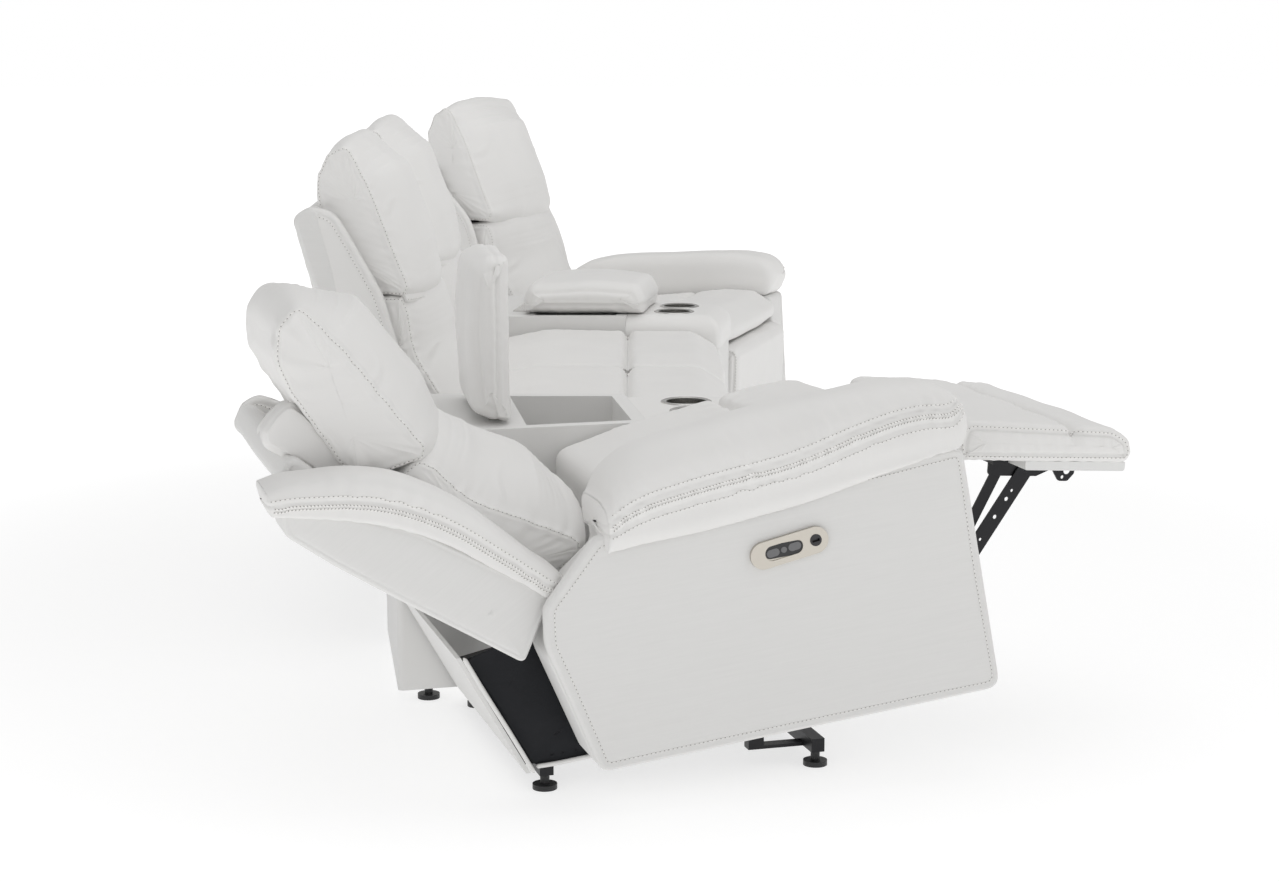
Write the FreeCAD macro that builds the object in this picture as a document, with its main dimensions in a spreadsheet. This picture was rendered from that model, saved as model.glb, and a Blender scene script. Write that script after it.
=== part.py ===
import FreeCAD, Part
import math
import os
import re
import Sketcher
from FreeCAD import Placement, Rotation, Vector

doc = FreeCAD.newDocument("RecliningSofa")

# Driving sizes, in millimetres and degrees. Across means away from the console side of a seat,
# depth runs from the front line of the seats to the rear, and height is above the floor.
SIZES = {
    "centre_across": 14.9, "centre_depth": 145.05,
    "seat_width": 614.0, "seat_gap": 3.0, "recliner_width": 581.0, "bend_angle": 15.8,
    "console_front": 286.0, "console_depth": 720.0, "console_side": 30.0, "deck_height": 520.0,
    "deck_thick": 80.0, "deck_depth": 236.0, "bin_front": 264.0, "bin_rear_wall": 32.0,
    "bin_floor": 250.0,
    "cup_depth_line": 126.0, "cup_spacing": 113.4, "cup_radius": 41.0, "cup_flange": 51.5,
    "cup_depth": 70.0, "cup_wall": 1.2, "lid_front": 190.0, "lid_gap": 2.0, "lid_thick": 82.0,
    "lid_opening": 90.0, "hinge_depth": 500.0, "hinge_rise": 6.0, "barrel_radius": 5.0,
    "base_height": 60.0, "glide_radius": 21.0, "glide_height": 9.0, "stem_radius": 8.0,
    "glide_front": 96.0, "glide_rear": 580.0, "glide_inset": 30.0, "tube_size": 24.0, "tube_height": 26.0,
    "rail_slope": 12.75, "rail_origin_depth": 650.0, "rail_origin_height": 62.0, "rail_length": 485.0,
    "rail_size": 36.0, "rail_wall": 3.0, "rail_across": 60.0, "rail_width": 24.0, "rail_rear": 24.0, "runner_play": 0.5,
    "runner_length": 276.0, "runner_rear": 34.0, "glide_travel": 169.9, "tilt_angle": 7.5, "tilt_depth": 620.0,
    "tilt_height": 130.0, "tilt_pin": 8.0, "pin_play": 0.05, "screw_width": 20.0, "screw_height": 18.0,
    "side_plate_across": 104.0, "plate_thick": 4.0, "plate_pitch": 5.0, "box_bottom": 300.0,
    "box_top": 360.0, "box_front": 88.0, "box_rear": 580.0, "board_thick": 20.0,
    "seat_top": 492.0, "seat_rear": 556.0, "crease_depth": 230.0, "nose_bottom": 412.0, "soft_gap": 0.3,
    "arm_width": 147.0, "arm_bottom": 45.0, "arm_rear": 702.0, "arm_rear_bulge": 768.0,
    "arm_rear_mid": 338.0, "arm_notch_depth": 664.0, "arm_notch_height": 434.0, "arm_shoulder": 470.0,
    "arm_skin": 28.0,
    "arm_height": 594.0, "pad_overhang": 12.0, "panel_depth": 345.0, "panel_height": 360.0,
    "panel_angle": 6.0, "panel_length": 136.0, "panel_width": 45.0, "panel_thick": 7.0,
    "pill_length": 66.0, "pill_width": 25.0, "pill_deep": 2.0, "pill_offset": 10.0,
    "oval_length": 22.0, "oval_width": 13.0, "oval_spacing": 38.0, "home_radius": 5.0,
    "button_play": 0.3, "button_rise": 1.0, "button_travel": 1.5, "port_radius": 10.0, "port_offset": 46.0,
    "recline_depth": 560.0, "recline_height": 250.0, "recline_angle": 30.0, "recline_pin": 6.0,
    "head_depth": 722.0, "head_height": 700.0, "head_angle": 20.0, "head_tube": 14.7,
    "shell_rear_low": 766.0, "shell_low": 362.0, "shell_rear_top": 905.0, "shell_top": 900.0,
    "shell_front_top": 800.0, "shell_front_mid": 738.0, "shell_mid": 735.0, "shell_front_low": 648.0,
    "shell_front_height": 446.0, "shell_wall": 50.0, "cheek_width": 28.0, "wing_width": 118.0,
    "pad_side_gap": 3.0, "shell_rise": -50.0, "head_top": 1042.0, "head_front": 628.0, "head_bottom": 715.0,
    "lumbar_top": 688.0, "lumbar_bottom": 402.0, "lumbar_front": 556.0, "upright_thick": 5.0,
    "pivot_depth": 120.0, "pivot_height": 280.0, "lower_link": 197.8, "upper_link": 215.0,
    "link_width": 29.0, "stay_width": 20.0, "link_pin": 5.0, "stay_pin_radius": 4.0, "stay_play": 3.6,
    "rest_length": 330.0, "rest_thick": 70.0, "rest_crease": 218.0, "rest_pin": 178.0,
    "stay_pin": 130.0, "pin_drop": 31.5, "board_start": 135.0, "rest_board": 16.0,
    "open_reach": 26.6, "open_height": 406.7, "open_angle": 11.0, "shut_reach": 50.0,
    "shut_height": 400.0, "skirt_thick": 8.0, "skirt_low_depth": 609.0, "skirt_low": 35.0,
    "skirt_top_depth": 726.0, "skirt_top": 242.0, "middle_rear": 690.0,
}

sheet = doc.addObject("Spreadsheet::Sheet", "Sizes")
for row, (alias, value) in enumerate(SIZES.items(), start=1):
    sheet.set("A%d" % row, alias)
    sheet.set("B%d" % row, str(value))
    sheet.setAlias("B%d" % row, alias)
working = doc.addObject("Spreadsheet::Sheet", "Working")
doc.recompute()


class Reader:
    """Gives the sheet's values to the parts that are shaped by curves."""

    def __getattr__(self, alias):
        return float(sheet.get(alias))


s = Reader()
ALIASES = re.compile(r"\b(" + "|".join(sorted(SIZES, key=len, reverse=True)) + r")\b")
NODES = []


def formula(text):
    return ALIASES.sub(r"Sizes.\1", str(text))


def bind(item, path, text):
    item.setExpression(path, formula(text))


def measure(text):
    """Works a formula out on a second sheet, for the place where a curve starts."""
    working.set("A1", "=" + formula(text))
    working.recompute()
    return float(working.get("A1"))


def minus(text):
    return "-(%s)" % text


# Simple solids whose sizes and places are bound to the sheet
def block(name, across, depth, height):
    item = doc.addObject("Part::Box", name)
    pairs = zip(("Length", "Width", "Height"), ("x", "y", "z"), (across, depth, height))
    for side, axis, (low, high) in pairs:
        bind(item, side, "(%s) - (%s)" % (high, low))
        bind(item, "Placement.Base." + axis, low)
    return item


TURNS = {
    "x": Rotation(Vector(0, 1, 0), 90),
    "y": Rotation(Vector(1, 0, 0), -90),
    "z": Rotation(),
}


def rod(name, axis, centre, radius, low, high):
    """A round bar along an axis; centre gives its place on the other two axes, in x, y, z order."""
    item = doc.addObject("Part::Cylinder", name)
    item.Placement = Placement(Vector(), TURNS[axis])
    bind(item, "Radius", radius)
    bind(item, "Height", "(%s) - (%s)" % (high, low))
    others = [name_ for name_ in "xyz" if name_ != axis]
    bind(item, "Placement.Base." + axis, low)
    bind(item, "Placement.Base." + others[0], centre[0])
    bind(item, "Placement.Base." + others[1], centre[1])
    return item


def fuse(name, items):
    item = doc.addObject("Part::MultiFuse", name)
    item.Shapes = items
    return item


def cut(name, base, tool):
    item = doc.addObject("Part::Cut", name)
    item.Base = base
    item.Tool = tool
    return item


def group(name, items):
    item = doc.addObject("Part::Compound", name)
    item.Links = items
    return item


# Sketched plates and shells
def sketch_on(body, name, plane, offset):
    item = body.newObject("Sketcher::SketchObject", name)
    origin = [part for part in body.Origin.OriginFeatures if part.Role == plane][0]
    item.AttachmentSupport = [(origin, "")]
    item.MapMode = "FlatFace"
    bind(item, "AttachmentOffset.Base.z", offset)
    return item


def place_point(sketch, geometry, end, corner):
    """Binds both coordinates of a point to formulas on the sheet's sizes."""
    for kind, text in zip(("DistanceX", "DistanceY"), corner):
        rule = sketch.addConstraint(
            Sketcher.Constraint(kind, -1, 1, geometry, end, measure(text)))
        sketch.setExpression("Constraints[%d]" % rule, formula(text))


def draw_polygon(sketch, corners):
    """Joins the corners with straight lines."""
    count = len(corners)
    first = sketch.GeometryCount
    ring = [Vector(measure(corner[0]), measure(corner[1]), 0) for corner in corners]
    for index in range(count):
        sketch.addGeometry(Part.LineSegment(ring[index], ring[(index + 1) % count]))
    for index in range(count):
        following = first + (index + 1) % count
        sketch.addConstraint(Sketcher.Constraint("Coincident", first + index, 2, following, 1))
    for index, corner in enumerate(corners):
        place_point(sketch, first + index, 1, corner)


def draw_circle(sketch, centre, radius):
    middle = Vector(measure(centre[0]), measure(centre[1]), 0)
    index = sketch.addGeometry(Part.Circle(middle, Vector(0, 0, 1), measure(radius)))
    place_point(sketch, index, 3, centre)
    rule = sketch.addConstraint(Sketcher.Constraint("Radius", index, measure(radius)))
    sketch.setExpression("Constraints[%d]" % rule, formula(radius))


def draw_slot(sketch, centre, half_length, radius):
    """A stadium lying along the sketch's first axis."""
    reach = measure(half_length)
    bend = measure(radius)
    middle = Vector(measure(centre[0]), measure(centre[1]), 0)
    arcs = []
    for sign in (1, -1):
        circle = Part.Circle(middle + Vector(sign * reach, 0, 0), Vector(0, 0, 1), bend)
        start = -math.pi / 2 * sign
        arcs.append(sketch.addGeometry(Part.ArcOfCircle(circle, start, start + math.pi)))
    lines = []
    for sign in (1, -1):
        start = middle + Vector(sign * reach, sign * bend, 0)
        end = middle + Vector(-sign * reach, sign * bend, 0)
        lines.append(sketch.addGeometry(Part.LineSegment(start, end)))
    for arc, line, other in ((arcs[0], lines[0], arcs[1]), (arcs[1], lines[1], arcs[0])):
        sketch.addConstraint(Sketcher.Constraint("Tangent", arc, 2, line, 1))
        sketch.addConstraint(Sketcher.Constraint("Tangent", line, 2, other, 1))
    for arc, sign in zip(arcs, "+-"):
        place_point(sketch, arc, 3, ("(%s) %s (%s)" % (centre[0], sign, half_length), centre[1]))
    rule = sketch.addConstraint(Sketcher.Constraint("Radius", arcs[0], bend))
    sketch.setExpression("Constraints[%d]" % rule, formula(radius))


def pad_body(name, plane, corners, low, high, rounds=None):
    """A straight-sided solid; rounds maps corner numbers to the radius of their edge."""
    body = doc.addObject("PartDesign::Body", name)
    outline = sketch_on(body, name + "_outline", plane, low)
    draw_polygon(outline, corners)
    pad = body.newObject("PartDesign::Pad", name + "_pad")
    pad.Profile = outline
    bind(pad, "Length", "(%s) - (%s)" % (high, low))
    doc.recompute()
    for radius in sorted(set((rounds or {}).values())):
        edges = edges_at(pad, outline, [k for k, value in rounds.items() if value == radius])
        pad = body.newObject("PartDesign::Fillet", "%s_round_%d" % (name, int(radius)))
        pad.Base = (body.Group[-2], edges)
        pad.Radius = radius
        doc.recompute()
    return body


def edges_at(feature, outline, corners):
    """Names of the edges that stand on the numbered corners of the sketch."""
    normal = outline.Placement.Rotation.multVec(Vector(0, 0, 1))
    points = [outline.Placement.multVec(outline.Geometry[k].StartPoint) for k in corners]
    names = []
    for index, edge in enumerate(feature.Shape.Edges, start=1):
        if len(edge.Vertexes) != 2:
            continue
        along = edge.Vertexes[1].Point - edge.Vertexes[0].Point
        if along.Length < 0.01 or along.cross(normal).Length > 0.001 * along.Length:
            continue
        for point in points:
            if (edge.Vertexes[0].Point - point).cross(normal).Length < 0.01:
                names.append("Edge%d" % index)
    return names


def pocket(body, name, plane, offset, draw, deep=None):
    """Cuts what draw puts in a new sketch: right through, or deep millimetres along the normal."""
    sketch = sketch_on(body, name + "_sketch", plane, offset)
    draw(sketch)
    before = body.Shape.Volume
    item = body.newObject("PartDesign::Pocket", name)
    item.Profile = sketch
    if deep is None:
        item.Type = "ThroughAll"
        item.Midplane = True
    else:
        item.Reversed = True
        bind(item, "Length", deep)
    doc.recompute()
    if body.Shape.Volume >= before:
        raise RuntimeError(name + " cuts nothing")
    return item


# Soft forms: a side outline of lines and arcs, lofted across the seat with its ends drawn in
def side_wire(points, across, draw_in, shrink, centre, floor_height):
    """points holds depth, height and the bulge of the stretch that follows each point."""
    placed = []
    for depth, height, bulge in points:
        scaled = height
        if height > floor_height:
            scaled = floor_height + (height - floor_height) * (1 - shrink)
        placed.append((Vector(across, centre + (depth - centre) * (1 - draw_in), scaled), bulge))
    edges = []
    for index, (start, bulge) in enumerate(placed):
        end = placed[(index + 1) % len(placed)][0]
        if bulge:
            chord = end - start
            offset = Vector(0, chord.z, -chord.y) * (bulge / 2)
            edges.append(Part.Arc(start, (start + end) / 2 + offset, end).toShape())
        else:
            edges.append(Part.LineSegment(start, end).toShape())
    return Part.Wire(edges)


def cushion(name, points, low, high, edge=26.0, draw=0.07, shrink=0.16, crown=0.02, level=None):
    """A stuffed form between two planes across the seat, fullest in the middle."""
    depths = [point[0] for point in points]
    centre = (min(depths) + max(depths)) / 2
    floor_height = min(point[1] for point in points) if level is None else level
    middle = (low + high) / 2
    ribs = [(middle, 0.0, -crown)]
    for share, closing in ((2.4, 0.0), (1.1, 0.12), (0.5, 0.36), (0.14, 0.68), (0.0, 1.0)):
        ribs.insert(0, (low + share * edge, closing * draw, closing * shrink))
        ribs.append((high - share * edge, closing * draw, closing * shrink))
    wires = [side_wire(points, x, inset, lower, centre, floor_height) for x, inset, lower in ribs]
    item = doc.addObject("Part::Feature", name)
    item.Shape = Part.makeLoft(wires, True, True)
    return item


# Places of the modules and of what moves on them
def turn_about(depth, height, angle):
    """A turn about the line across the seat; a positive angle leans back, or lifts the front."""
    centre = Vector(0, depth, height)
    return Placement(Vector(), Rotation(Vector(1, 0, 0), -angle), centre)


def slope_frame():
    base = Vector(0, s.rail_origin_depth, s.rail_origin_height)
    return Placement(base, Rotation(Vector(1, 0, 0), -s.rail_slope))


class Recliner:
    """One end seat: its side of the sofa, its place and how far it is opened, from 0 to 1."""

    def __init__(self, name, sign, opened):
        self.name = name
        self.sign = sign
        self.opened = opened
        bend = math.radians(s.bend_angle)
        corner = Vector(
            sign * (s.seat_width + s.console_front * math.cos(bend / 2)),
            -s.console_front * math.sin(bend / 2), 0)
        corner += Vector(s.centre_across, -s.centre_depth, 0)
        self.base = Placement(corner, Rotation(Vector(0, 0, 1), -sign * s.bend_angle))
        slope = math.radians(s.rail_slope)
        travel = Vector(0, -math.cos(slope), math.sin(slope)) * (s.glide_travel * opened)
        self.carriage = self.base * Placement(travel, Rotation())
        tilt = turn_about(s.tilt_depth, s.tilt_height, s.tilt_angle * opened)
        self.seat = self.carriage * tilt
        lean = turn_about(s.recline_depth, s.recline_height, s.recline_angle * opened)
        self.back = self.seat * lean
        nod = turn_about(s.head_depth, s.head_height, -s.head_angle * opened)
        self.head = self.back * nod

    def across(self, low, high):
        if self.sign > 0:
            return (low, high)
        return (minus(high), minus(low))

    def span(self, low, high):
        if self.sign > 0:
            return (low, high)
        return (-high, -low)

    def both(self, low, high):
        """The same distance in from each side of the seat."""
        near_side = self.across(low, high)
        far_side = self.across("recliner_width - (%s)" % high, "recliner_width - (%s)" % low)
        return (near_side, far_side)

    def label(self, piece):
        return self.name + "_" + piece

    def keep(self, item, piece, place):
        keep(item, self.label(piece), place)


def keep(item, label, place=Placement()):
    item.Label = label
    item.Placement = place * item.Placement
    NODES.append(item)


# Footrest linkage, in reach and height from the seat's front line
def pair(reach, height):
    return Vector(reach, height, 0)


def turned(vector, degrees):
    angle = math.radians(degrees)
    return pair(
        vector.x * math.cos(angle) - vector.y * math.sin(angle),
        vector.x * math.sin(angle) + vector.y * math.cos(angle))


def heading(vector):
    return math.degrees(math.atan2(vector.y, vector.x))


def elbow(first, second, first_length, second_length):
    """The joint of two links whose other ends are held, on the lower rear side."""
    line = second - first
    along = (first_length ** 2 - second_length ** 2 + line.Length ** 2) / (2 * line.Length)
    rise = math.sqrt(first_length ** 2 - along ** 2)
    unit = line / line.Length
    return first + unit * along + pair(unit.y, -unit.x) * rise


class Linkage:
    """The footrest's links at one end of their travel."""

    def __init__(self, opened):
        if opened:
            self.edge = pair(s.open_reach, s.open_height)
            self.angle = -s.open_angle
        else:
            self.edge = pair(-s.shut_reach, s.shut_height)
            self.angle = -90.0
        self.pivot = pair(-s.pivot_depth, s.pivot_height)
        self.rest_pin = self.edge + turned(pair(s.rest_pin, -s.pin_drop), self.angle)
        self.stay_pin = self.edge + turned(pair(s.stay_pin, -s.pin_drop), self.angle)
        self.elbow = elbow(self.pivot, self.rest_pin, s.lower_link, s.upper_link)
        self.lower = heading(self.elbow - self.pivot)
        self.upper = heading(self.rest_pin - self.elbow)


OPEN = Linkage(True)
SHUT = Linkage(False)


def stay_ear():
    """Where the stay meets the lower link, so that the stay has one length at both ends of travel."""
    open_way = turned(OPEN.stay_pin - OPEN.elbow, -OPEN.lower)
    shut_way = turned(SHUT.stay_pin - SHUT.elbow, -SHUT.lower)
    split = shut_way - open_way
    share = (shut_way.Length ** 2 - open_way.Length ** 2) / 2
    return split * (share / split.Length ** 2)


EAR = stay_ear()
for links in (OPEN, SHUT):
    links.ear = links.elbow + turned(EAR, links.lower)
    links.stay = heading(links.stay_pin - links.ear)
STAY_LENGTH = (OPEN.stay_pin - OPEN.ear).Length


def lay(point, angle):
    """The place of a piece drawn with its length towards the front."""
    return Placement(Vector(0, -point.x, point.y), Rotation(Vector(1, 0, 0), -angle))


def plate_level(number):
    """The across range of one of the mechanism's flat layers, counted from the side plate."""
    low = "side_plate_across + %d * plate_pitch" % number
    return (low, low + " + plate_thick")


def link_bar(name, across, length, width, holes):
    """A flat bar with round ends from its first pin to length, and holes at distances along it."""
    low, high = across
    body = doc.addObject("PartDesign::Body", name)
    outline = sketch_on(body, name + "_outline", "YZ_Plane", low)
    draw_slot(outline, (minus("(%s) / 2" % length), "0"), "(%s) / 2" % length, "(%s) / 2" % width)
    pad = body.newObject("PartDesign::Pad", name + "_pad")
    pad.Profile = outline
    bind(pad, "Length", "(%s) - (%s)" % (high, low))
    doc.recompute()

    def draw(sketch):
        for distance, radius in holes:
            draw_circle(sketch, (minus(distance), "0"), radius)

    pocket(body, name + "_holes", "YZ_Plane", low, draw)
    return body


def shell_outline(standing):
    """Side outline of an outer back; a standing one goes on down behind the base."""
    rise = "0" if standing else "shell_rise"
    corners = [
        ("shell_rear_low", "shell_low"),
        ("shell_rear_top + 0.27 * %s" % rise, "shell_top - 22 + %s" % rise),
        ("shell_rear_top - 40 + 0.2 * %s" % rise, "shell_top + %s" % rise),
        ("shell_front_top + 12", "shell_top - 16 + 0.8 * %s" % rise),
        ("shell_front_top - 12", "shell_top - 62"), ("shell_front_mid", "shell_mid"),
        ("shell_front_low", "shell_front_height"),
        ("shell_front_low + 14", "shell_front_height - 22")]
    if standing:
        corners += [
            ("middle_rear", "shell_low + 40"), ("middle_rear", "base_height"),
            ("middle_rear + 26", "base_height")]
    return corners


SHELL_ROUNDS = {1: 12.0, 2: 18.0, 3: 30.0, 5: 60.0, 6: 8.0, 7: 10.0}


def wing_outline():
    """Side outline of the wing beside a reclining back, fuller behind than the back itself."""
    return [
        ("shell_rear_low", "shell_low"), ("shell_rear_low + 78", "shell_low + 186"),
        ("shell_rear_low + 166", "shell_low + 419"), ("shell_rear_top - 5", "shell_top - 50"),
        ("shell_front_mid - 1", "shell_mid + 1"), ("shell_front_low + 34", "shell_mid - 110"),
        ("shell_front_low", "shell_front_height + 40"), ("shell_front_low", "shell_front_height"),
        ("shell_front_low + 14", "shell_front_height - 22")]


WING_ROUNDS = {2: 24.0, 3: 26.0, 4: 70.0, 8: 10.0}


def shell_cavity(sketch):
    """The hollow between the cheeks, open to the front, above and below."""
    lean = "(shell_rear_top - shell_rear_low) / (shell_top - 22 - shell_low)"
    low = "(shell_low - 60)"
    top = "(shell_top + 120)"
    rear = "shell_rear_low - shell_wall + (%s) * (%s - shell_low)"
    draw_polygon(sketch, [
        (rear % (lean, low), low), (rear % (lean, top), top),
        ("shell_front_top - 300", top), ("shell_front_low - 200", low)])


def rear_of_cavity(height):
    lean = (s.shell_rear_top - s.shell_rear_low) / (s.shell_top - 22 - s.shell_low)
    return s.shell_rear_low - s.shell_wall + lean * (height - s.shell_low)


def lumbar_outline(gap):
    return [
        (rear_of_cavity(s.lumbar_bottom) - gap, s.lumbar_bottom, 0),
        (rear_of_cavity(s.lumbar_top) - gap, s.lumbar_top, 0.10),
        (s.lumbar_front + 84, s.lumbar_top - 26, 0.26),
        (s.lumbar_front + 2, s.lumbar_top - 150, 0.10),
        (s.lumbar_front - 2, s.lumbar_bottom + 40, 0.30),
        (s.lumbar_front + 42, s.lumbar_bottom, 0)]


def head_outline(gap):
    shoulder = s.shell_top - 6
    return [
        (rear_of_cavity(s.head_bottom) - gap, s.head_bottom, 0),
        (rear_of_cavity(shoulder) - gap, shoulder, 0.16),
        (s.head_front + 196, s.head_top - 44, 0.40),
        (s.head_front + 104, s.head_top - 10, 0.22),
        (s.head_front + 6, s.head_top - 190, 0.20),
        (s.head_front + 28, s.head_bottom, 0)]


def seat_outline(bottom, front):
    top = s.seat_top
    crease = s.crease_depth
    return [
        (s.seat_rear, bottom, 0), (s.seat_rear - 4, top - 44, 0.30),
        (s.seat_rear - 60, top - 14, 0.05), (crease + 22, top - 12, 0.18),
        (crease, top - 30, 0.0), (crease - 16, top - 14, 0.10),
        (56, top - 18, 0.42), (6, s.nose_bottom + 14, 0.30), (20, s.nose_bottom, 0),
        (front, s.nose_bottom, 0), (front, bottom, 0)]


def make_base(seat):
    """Black steel base: two cross tubes, two sloping rails and the posts under their front ends."""
    pieces = []
    for where in ("glide_front", "glide_rear"):
        across = seat.across(
            "-seat_gap * cos(bend_angle / 2)", "recliner_width - glide_inset + 14")
        depth = ("%s - tube_size / 2" % where, "%s + tube_size / 2" % where)
        pieces.append(block(
            seat.label("base_" + where), across, depth, ("tube_height", "tube_height + tube_size")))
    for index, across in enumerate(seat.both("rail_across", "rail_across + rail_width")):
        name = seat.label("rail_%d" % index)
        whole = block(name, across, ("-rail_length", "-rail_rear"), ("0", "rail_size"))
        inner = seat.both("rail_across + rail_wall", "rail_across + rail_width + 1")[index]
        room = block(
            name + "_room", inner, ("-rail_length - 1", "1"), ("rail_wall", "rail_size - rail_wall"))
        channel = cut(name + "_channel", whole, room)
        channel.Placement = slope_frame()
        pieces.append(channel)
        under = "rail_origin_height + (rail_origin_depth - (%s)) * tan(rail_slope) + 1"
        pieces.append(block(
            name + "_brace", across, ("glide_front", "glide_front + 112"),
            ("tube_height", "tube_height + 6")))
        lean = "skirt_low_depth + (%s - skirt_low) * (skirt_top_depth - skirt_low_depth)"
        lean += " / (skirt_top - skirt_low)"
        post = ("glide_front + 84", "glide_front + 112")
        pieces.append(pad_body(name + "_post", "YZ_Plane", [
            (post[0], "tube_height"), (post[1], "tube_height"), (post[1], under % post[1]),
            (post[0], under % post[0])], across[0], across[1]))
        rear = lean % "(skirt_low + 26)"
        pieces.append(pad_body(name + "_heel", "YZ_Plane", [
            ("glide_rear - 12", "skirt_low"), (lean % "skirt_low", "skirt_low"),
            (rear, "skirt_low + 26"), (rear, under % rear),
            ("glide_rear - 12", under % "(glide_rear - 12)")], across[0], across[1]))
    middle = seat.across("recliner_width / 2 - 60", "recliner_width / 2 + 60")
    pieces.append(block(
        seat.label("pedestal_brace"), middle, ("glide_front", "glide_front + 112"),
        ("tube_height", "tube_height + 6")))
    pedestal = seat.across("recliner_width / 2 - 24", "recliner_width / 2 + 24")
    under += " - 7"
    pieces.append(pad_body(seat.label("pedestal"), "YZ_Plane", [
        (post[0], "tube_height"), (post[1], "tube_height"), (post[1], under % post[1]),
        (post[0], under % post[0])], pedestal[0], pedestal[1]))
    whole = seat.across("rail_across", "recliner_width - rail_across")
    for where, across, depth in (
            ("front", middle, ("-rail_length", "-rail_length + 30")), ("rear", whole, ("-62", "-30"))):
        name = seat.label(where + "_strut")
        strut = group(name, [block(name + "_bar", across, depth, ("-12", "0"))])
        strut.Placement = slope_frame()
        pieces.append(strut)
    seat.keep(fuse(seat.label("base_frame"), pieces), "base_frame", seat.base)


def make_carriage(seat):
    """Runners inside the rails, the plates that rise from them and the tilt shaft between."""
    slope = math.radians(s.rail_slope)
    pieces = []
    for index in (0, 1):
        name = seat.label("runner_%d" % index)
        bar = seat.both("rail_across + rail_wall + runner_play", "rail_across + rail_width + 2")[index]
        play = "rail_wall + runner_play"
        pieces.append(block(
            name, bar, ("-runner_length - runner_rear", "-runner_rear"),
            (play, "rail_size - (%s)" % play)))
        across = seat.both("rail_across + rail_width + 2", "rail_across + rail_width + 7")[index]
        pivot = (
            "(tilt_depth - rail_origin_depth) * cos(rail_slope) - "
            "(tilt_height - rail_origin_height) * sin(rail_slope)",
            "(tilt_depth - rail_origin_depth) * sin(rail_slope) + "
            "(tilt_height - rail_origin_height) * cos(rail_slope)")
        pieces.append(pad_body(name + "_plate", "YZ_Plane", [
            ("-runner_length - runner_rear", play), ("-runner_rear", play),
            ("(%s) + 15" % pivot[0], pivot[1]), ("(%s) + 15" % pivot[0], "(%s) + 15" % pivot[1]),
            ("(%s) - 18" % pivot[0], "(%s) + 15" % pivot[1]),
            ("-130", "rail_size - (%s)" % play),
            ("-runner_length - runner_rear", "rail_size - (%s)" % play),
        ], across[0], across[1], {3: 12.0, 4: 14.0}))
        pivot_text = pivot
    shaft = seat.across("rail_across + rail_width + 2", "recliner_width - rail_across - rail_width - 2")
    pieces.append(rod(
        seat.label("tilt_shaft"), "x", pivot_text, "tilt_pin", shaft[0], shaft[1]))
    middle = seat.across("recliner_width / 2 - 20", "recliner_width / 2 + 20")
    screw = seat.across(
        "recliner_width / 2 - screw_width / 2 - runner_play",
        "recliner_width / 2 + screw_width / 2 + runner_play")
    nut = block(seat.label("nut"), middle, ("-92", "-42"), ("4", "56"))
    room = block(
        seat.label("nut_room"), screw, ("-98", "-36"),
        ("12 - runner_play", "12 + screw_height + runner_play"))
    pieces.append(cut(seat.label("drive_nut"), nut, room))
    carriage = fuse(seat.label("carriage"), pieces)
    seat.keep(carriage, "carriage", seat.carriage * slope_frame())


def drive_unit(seat):
    """Motor, gear case and the sloping screw rail that the carriage's nut runs on."""
    middle = seat.across(
        "recliner_width / 2 - screw_width / 2", "recliner_width / 2 + screw_width / 2")
    rail = block(
        seat.label("screw_rail"), middle, ("-rail_length + 40", "-31"), ("12", "12 + screw_height"))
    case_across = seat.across("recliner_width / 2 - 34", "recliner_width / 2 + 34")
    case = block(
        seat.label("gear_case"), case_across, ("-rail_length - 14", "-rail_length + 50"), ("0.3", "56"))
    motor_across = seat.across("recliner_width / 2 + 30", "recliner_width / 2 + 130")
    motor = rod(
        seat.label("motor"), "x", ("-rail_length + 18", "28"), "26", motor_across[0], motor_across[1])
    heel_across = seat.across("recliner_width / 2 - 16", "recliner_width / 2 + 16")
    heel = block(seat.label("screw_heel"), heel_across, ("-40", "-30"), ("0.3", "34"))
    unit = fuse(seat.label("drive_unit"), [rail, case, motor, heel])
    unit.Placement = seat.base * slope_frame()
    return unit


def rear_skirt(seat):
    """Upholstered board that closes the base at the rear, leaning back towards its top."""
    across = seat.across("10", "recliner_width - 10")
    body = pad_body(seat.label("skirt"), "YZ_Plane", [
        ("skirt_low_depth", "skirt_low"), ("skirt_low_depth + skirt_thick", "skirt_low"),
        ("skirt_top_depth + skirt_thick", "skirt_top"), ("skirt_top_depth", "skirt_top"),
    ], across[0], across[1])
    body.Placement = seat.base
    return body


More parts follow.
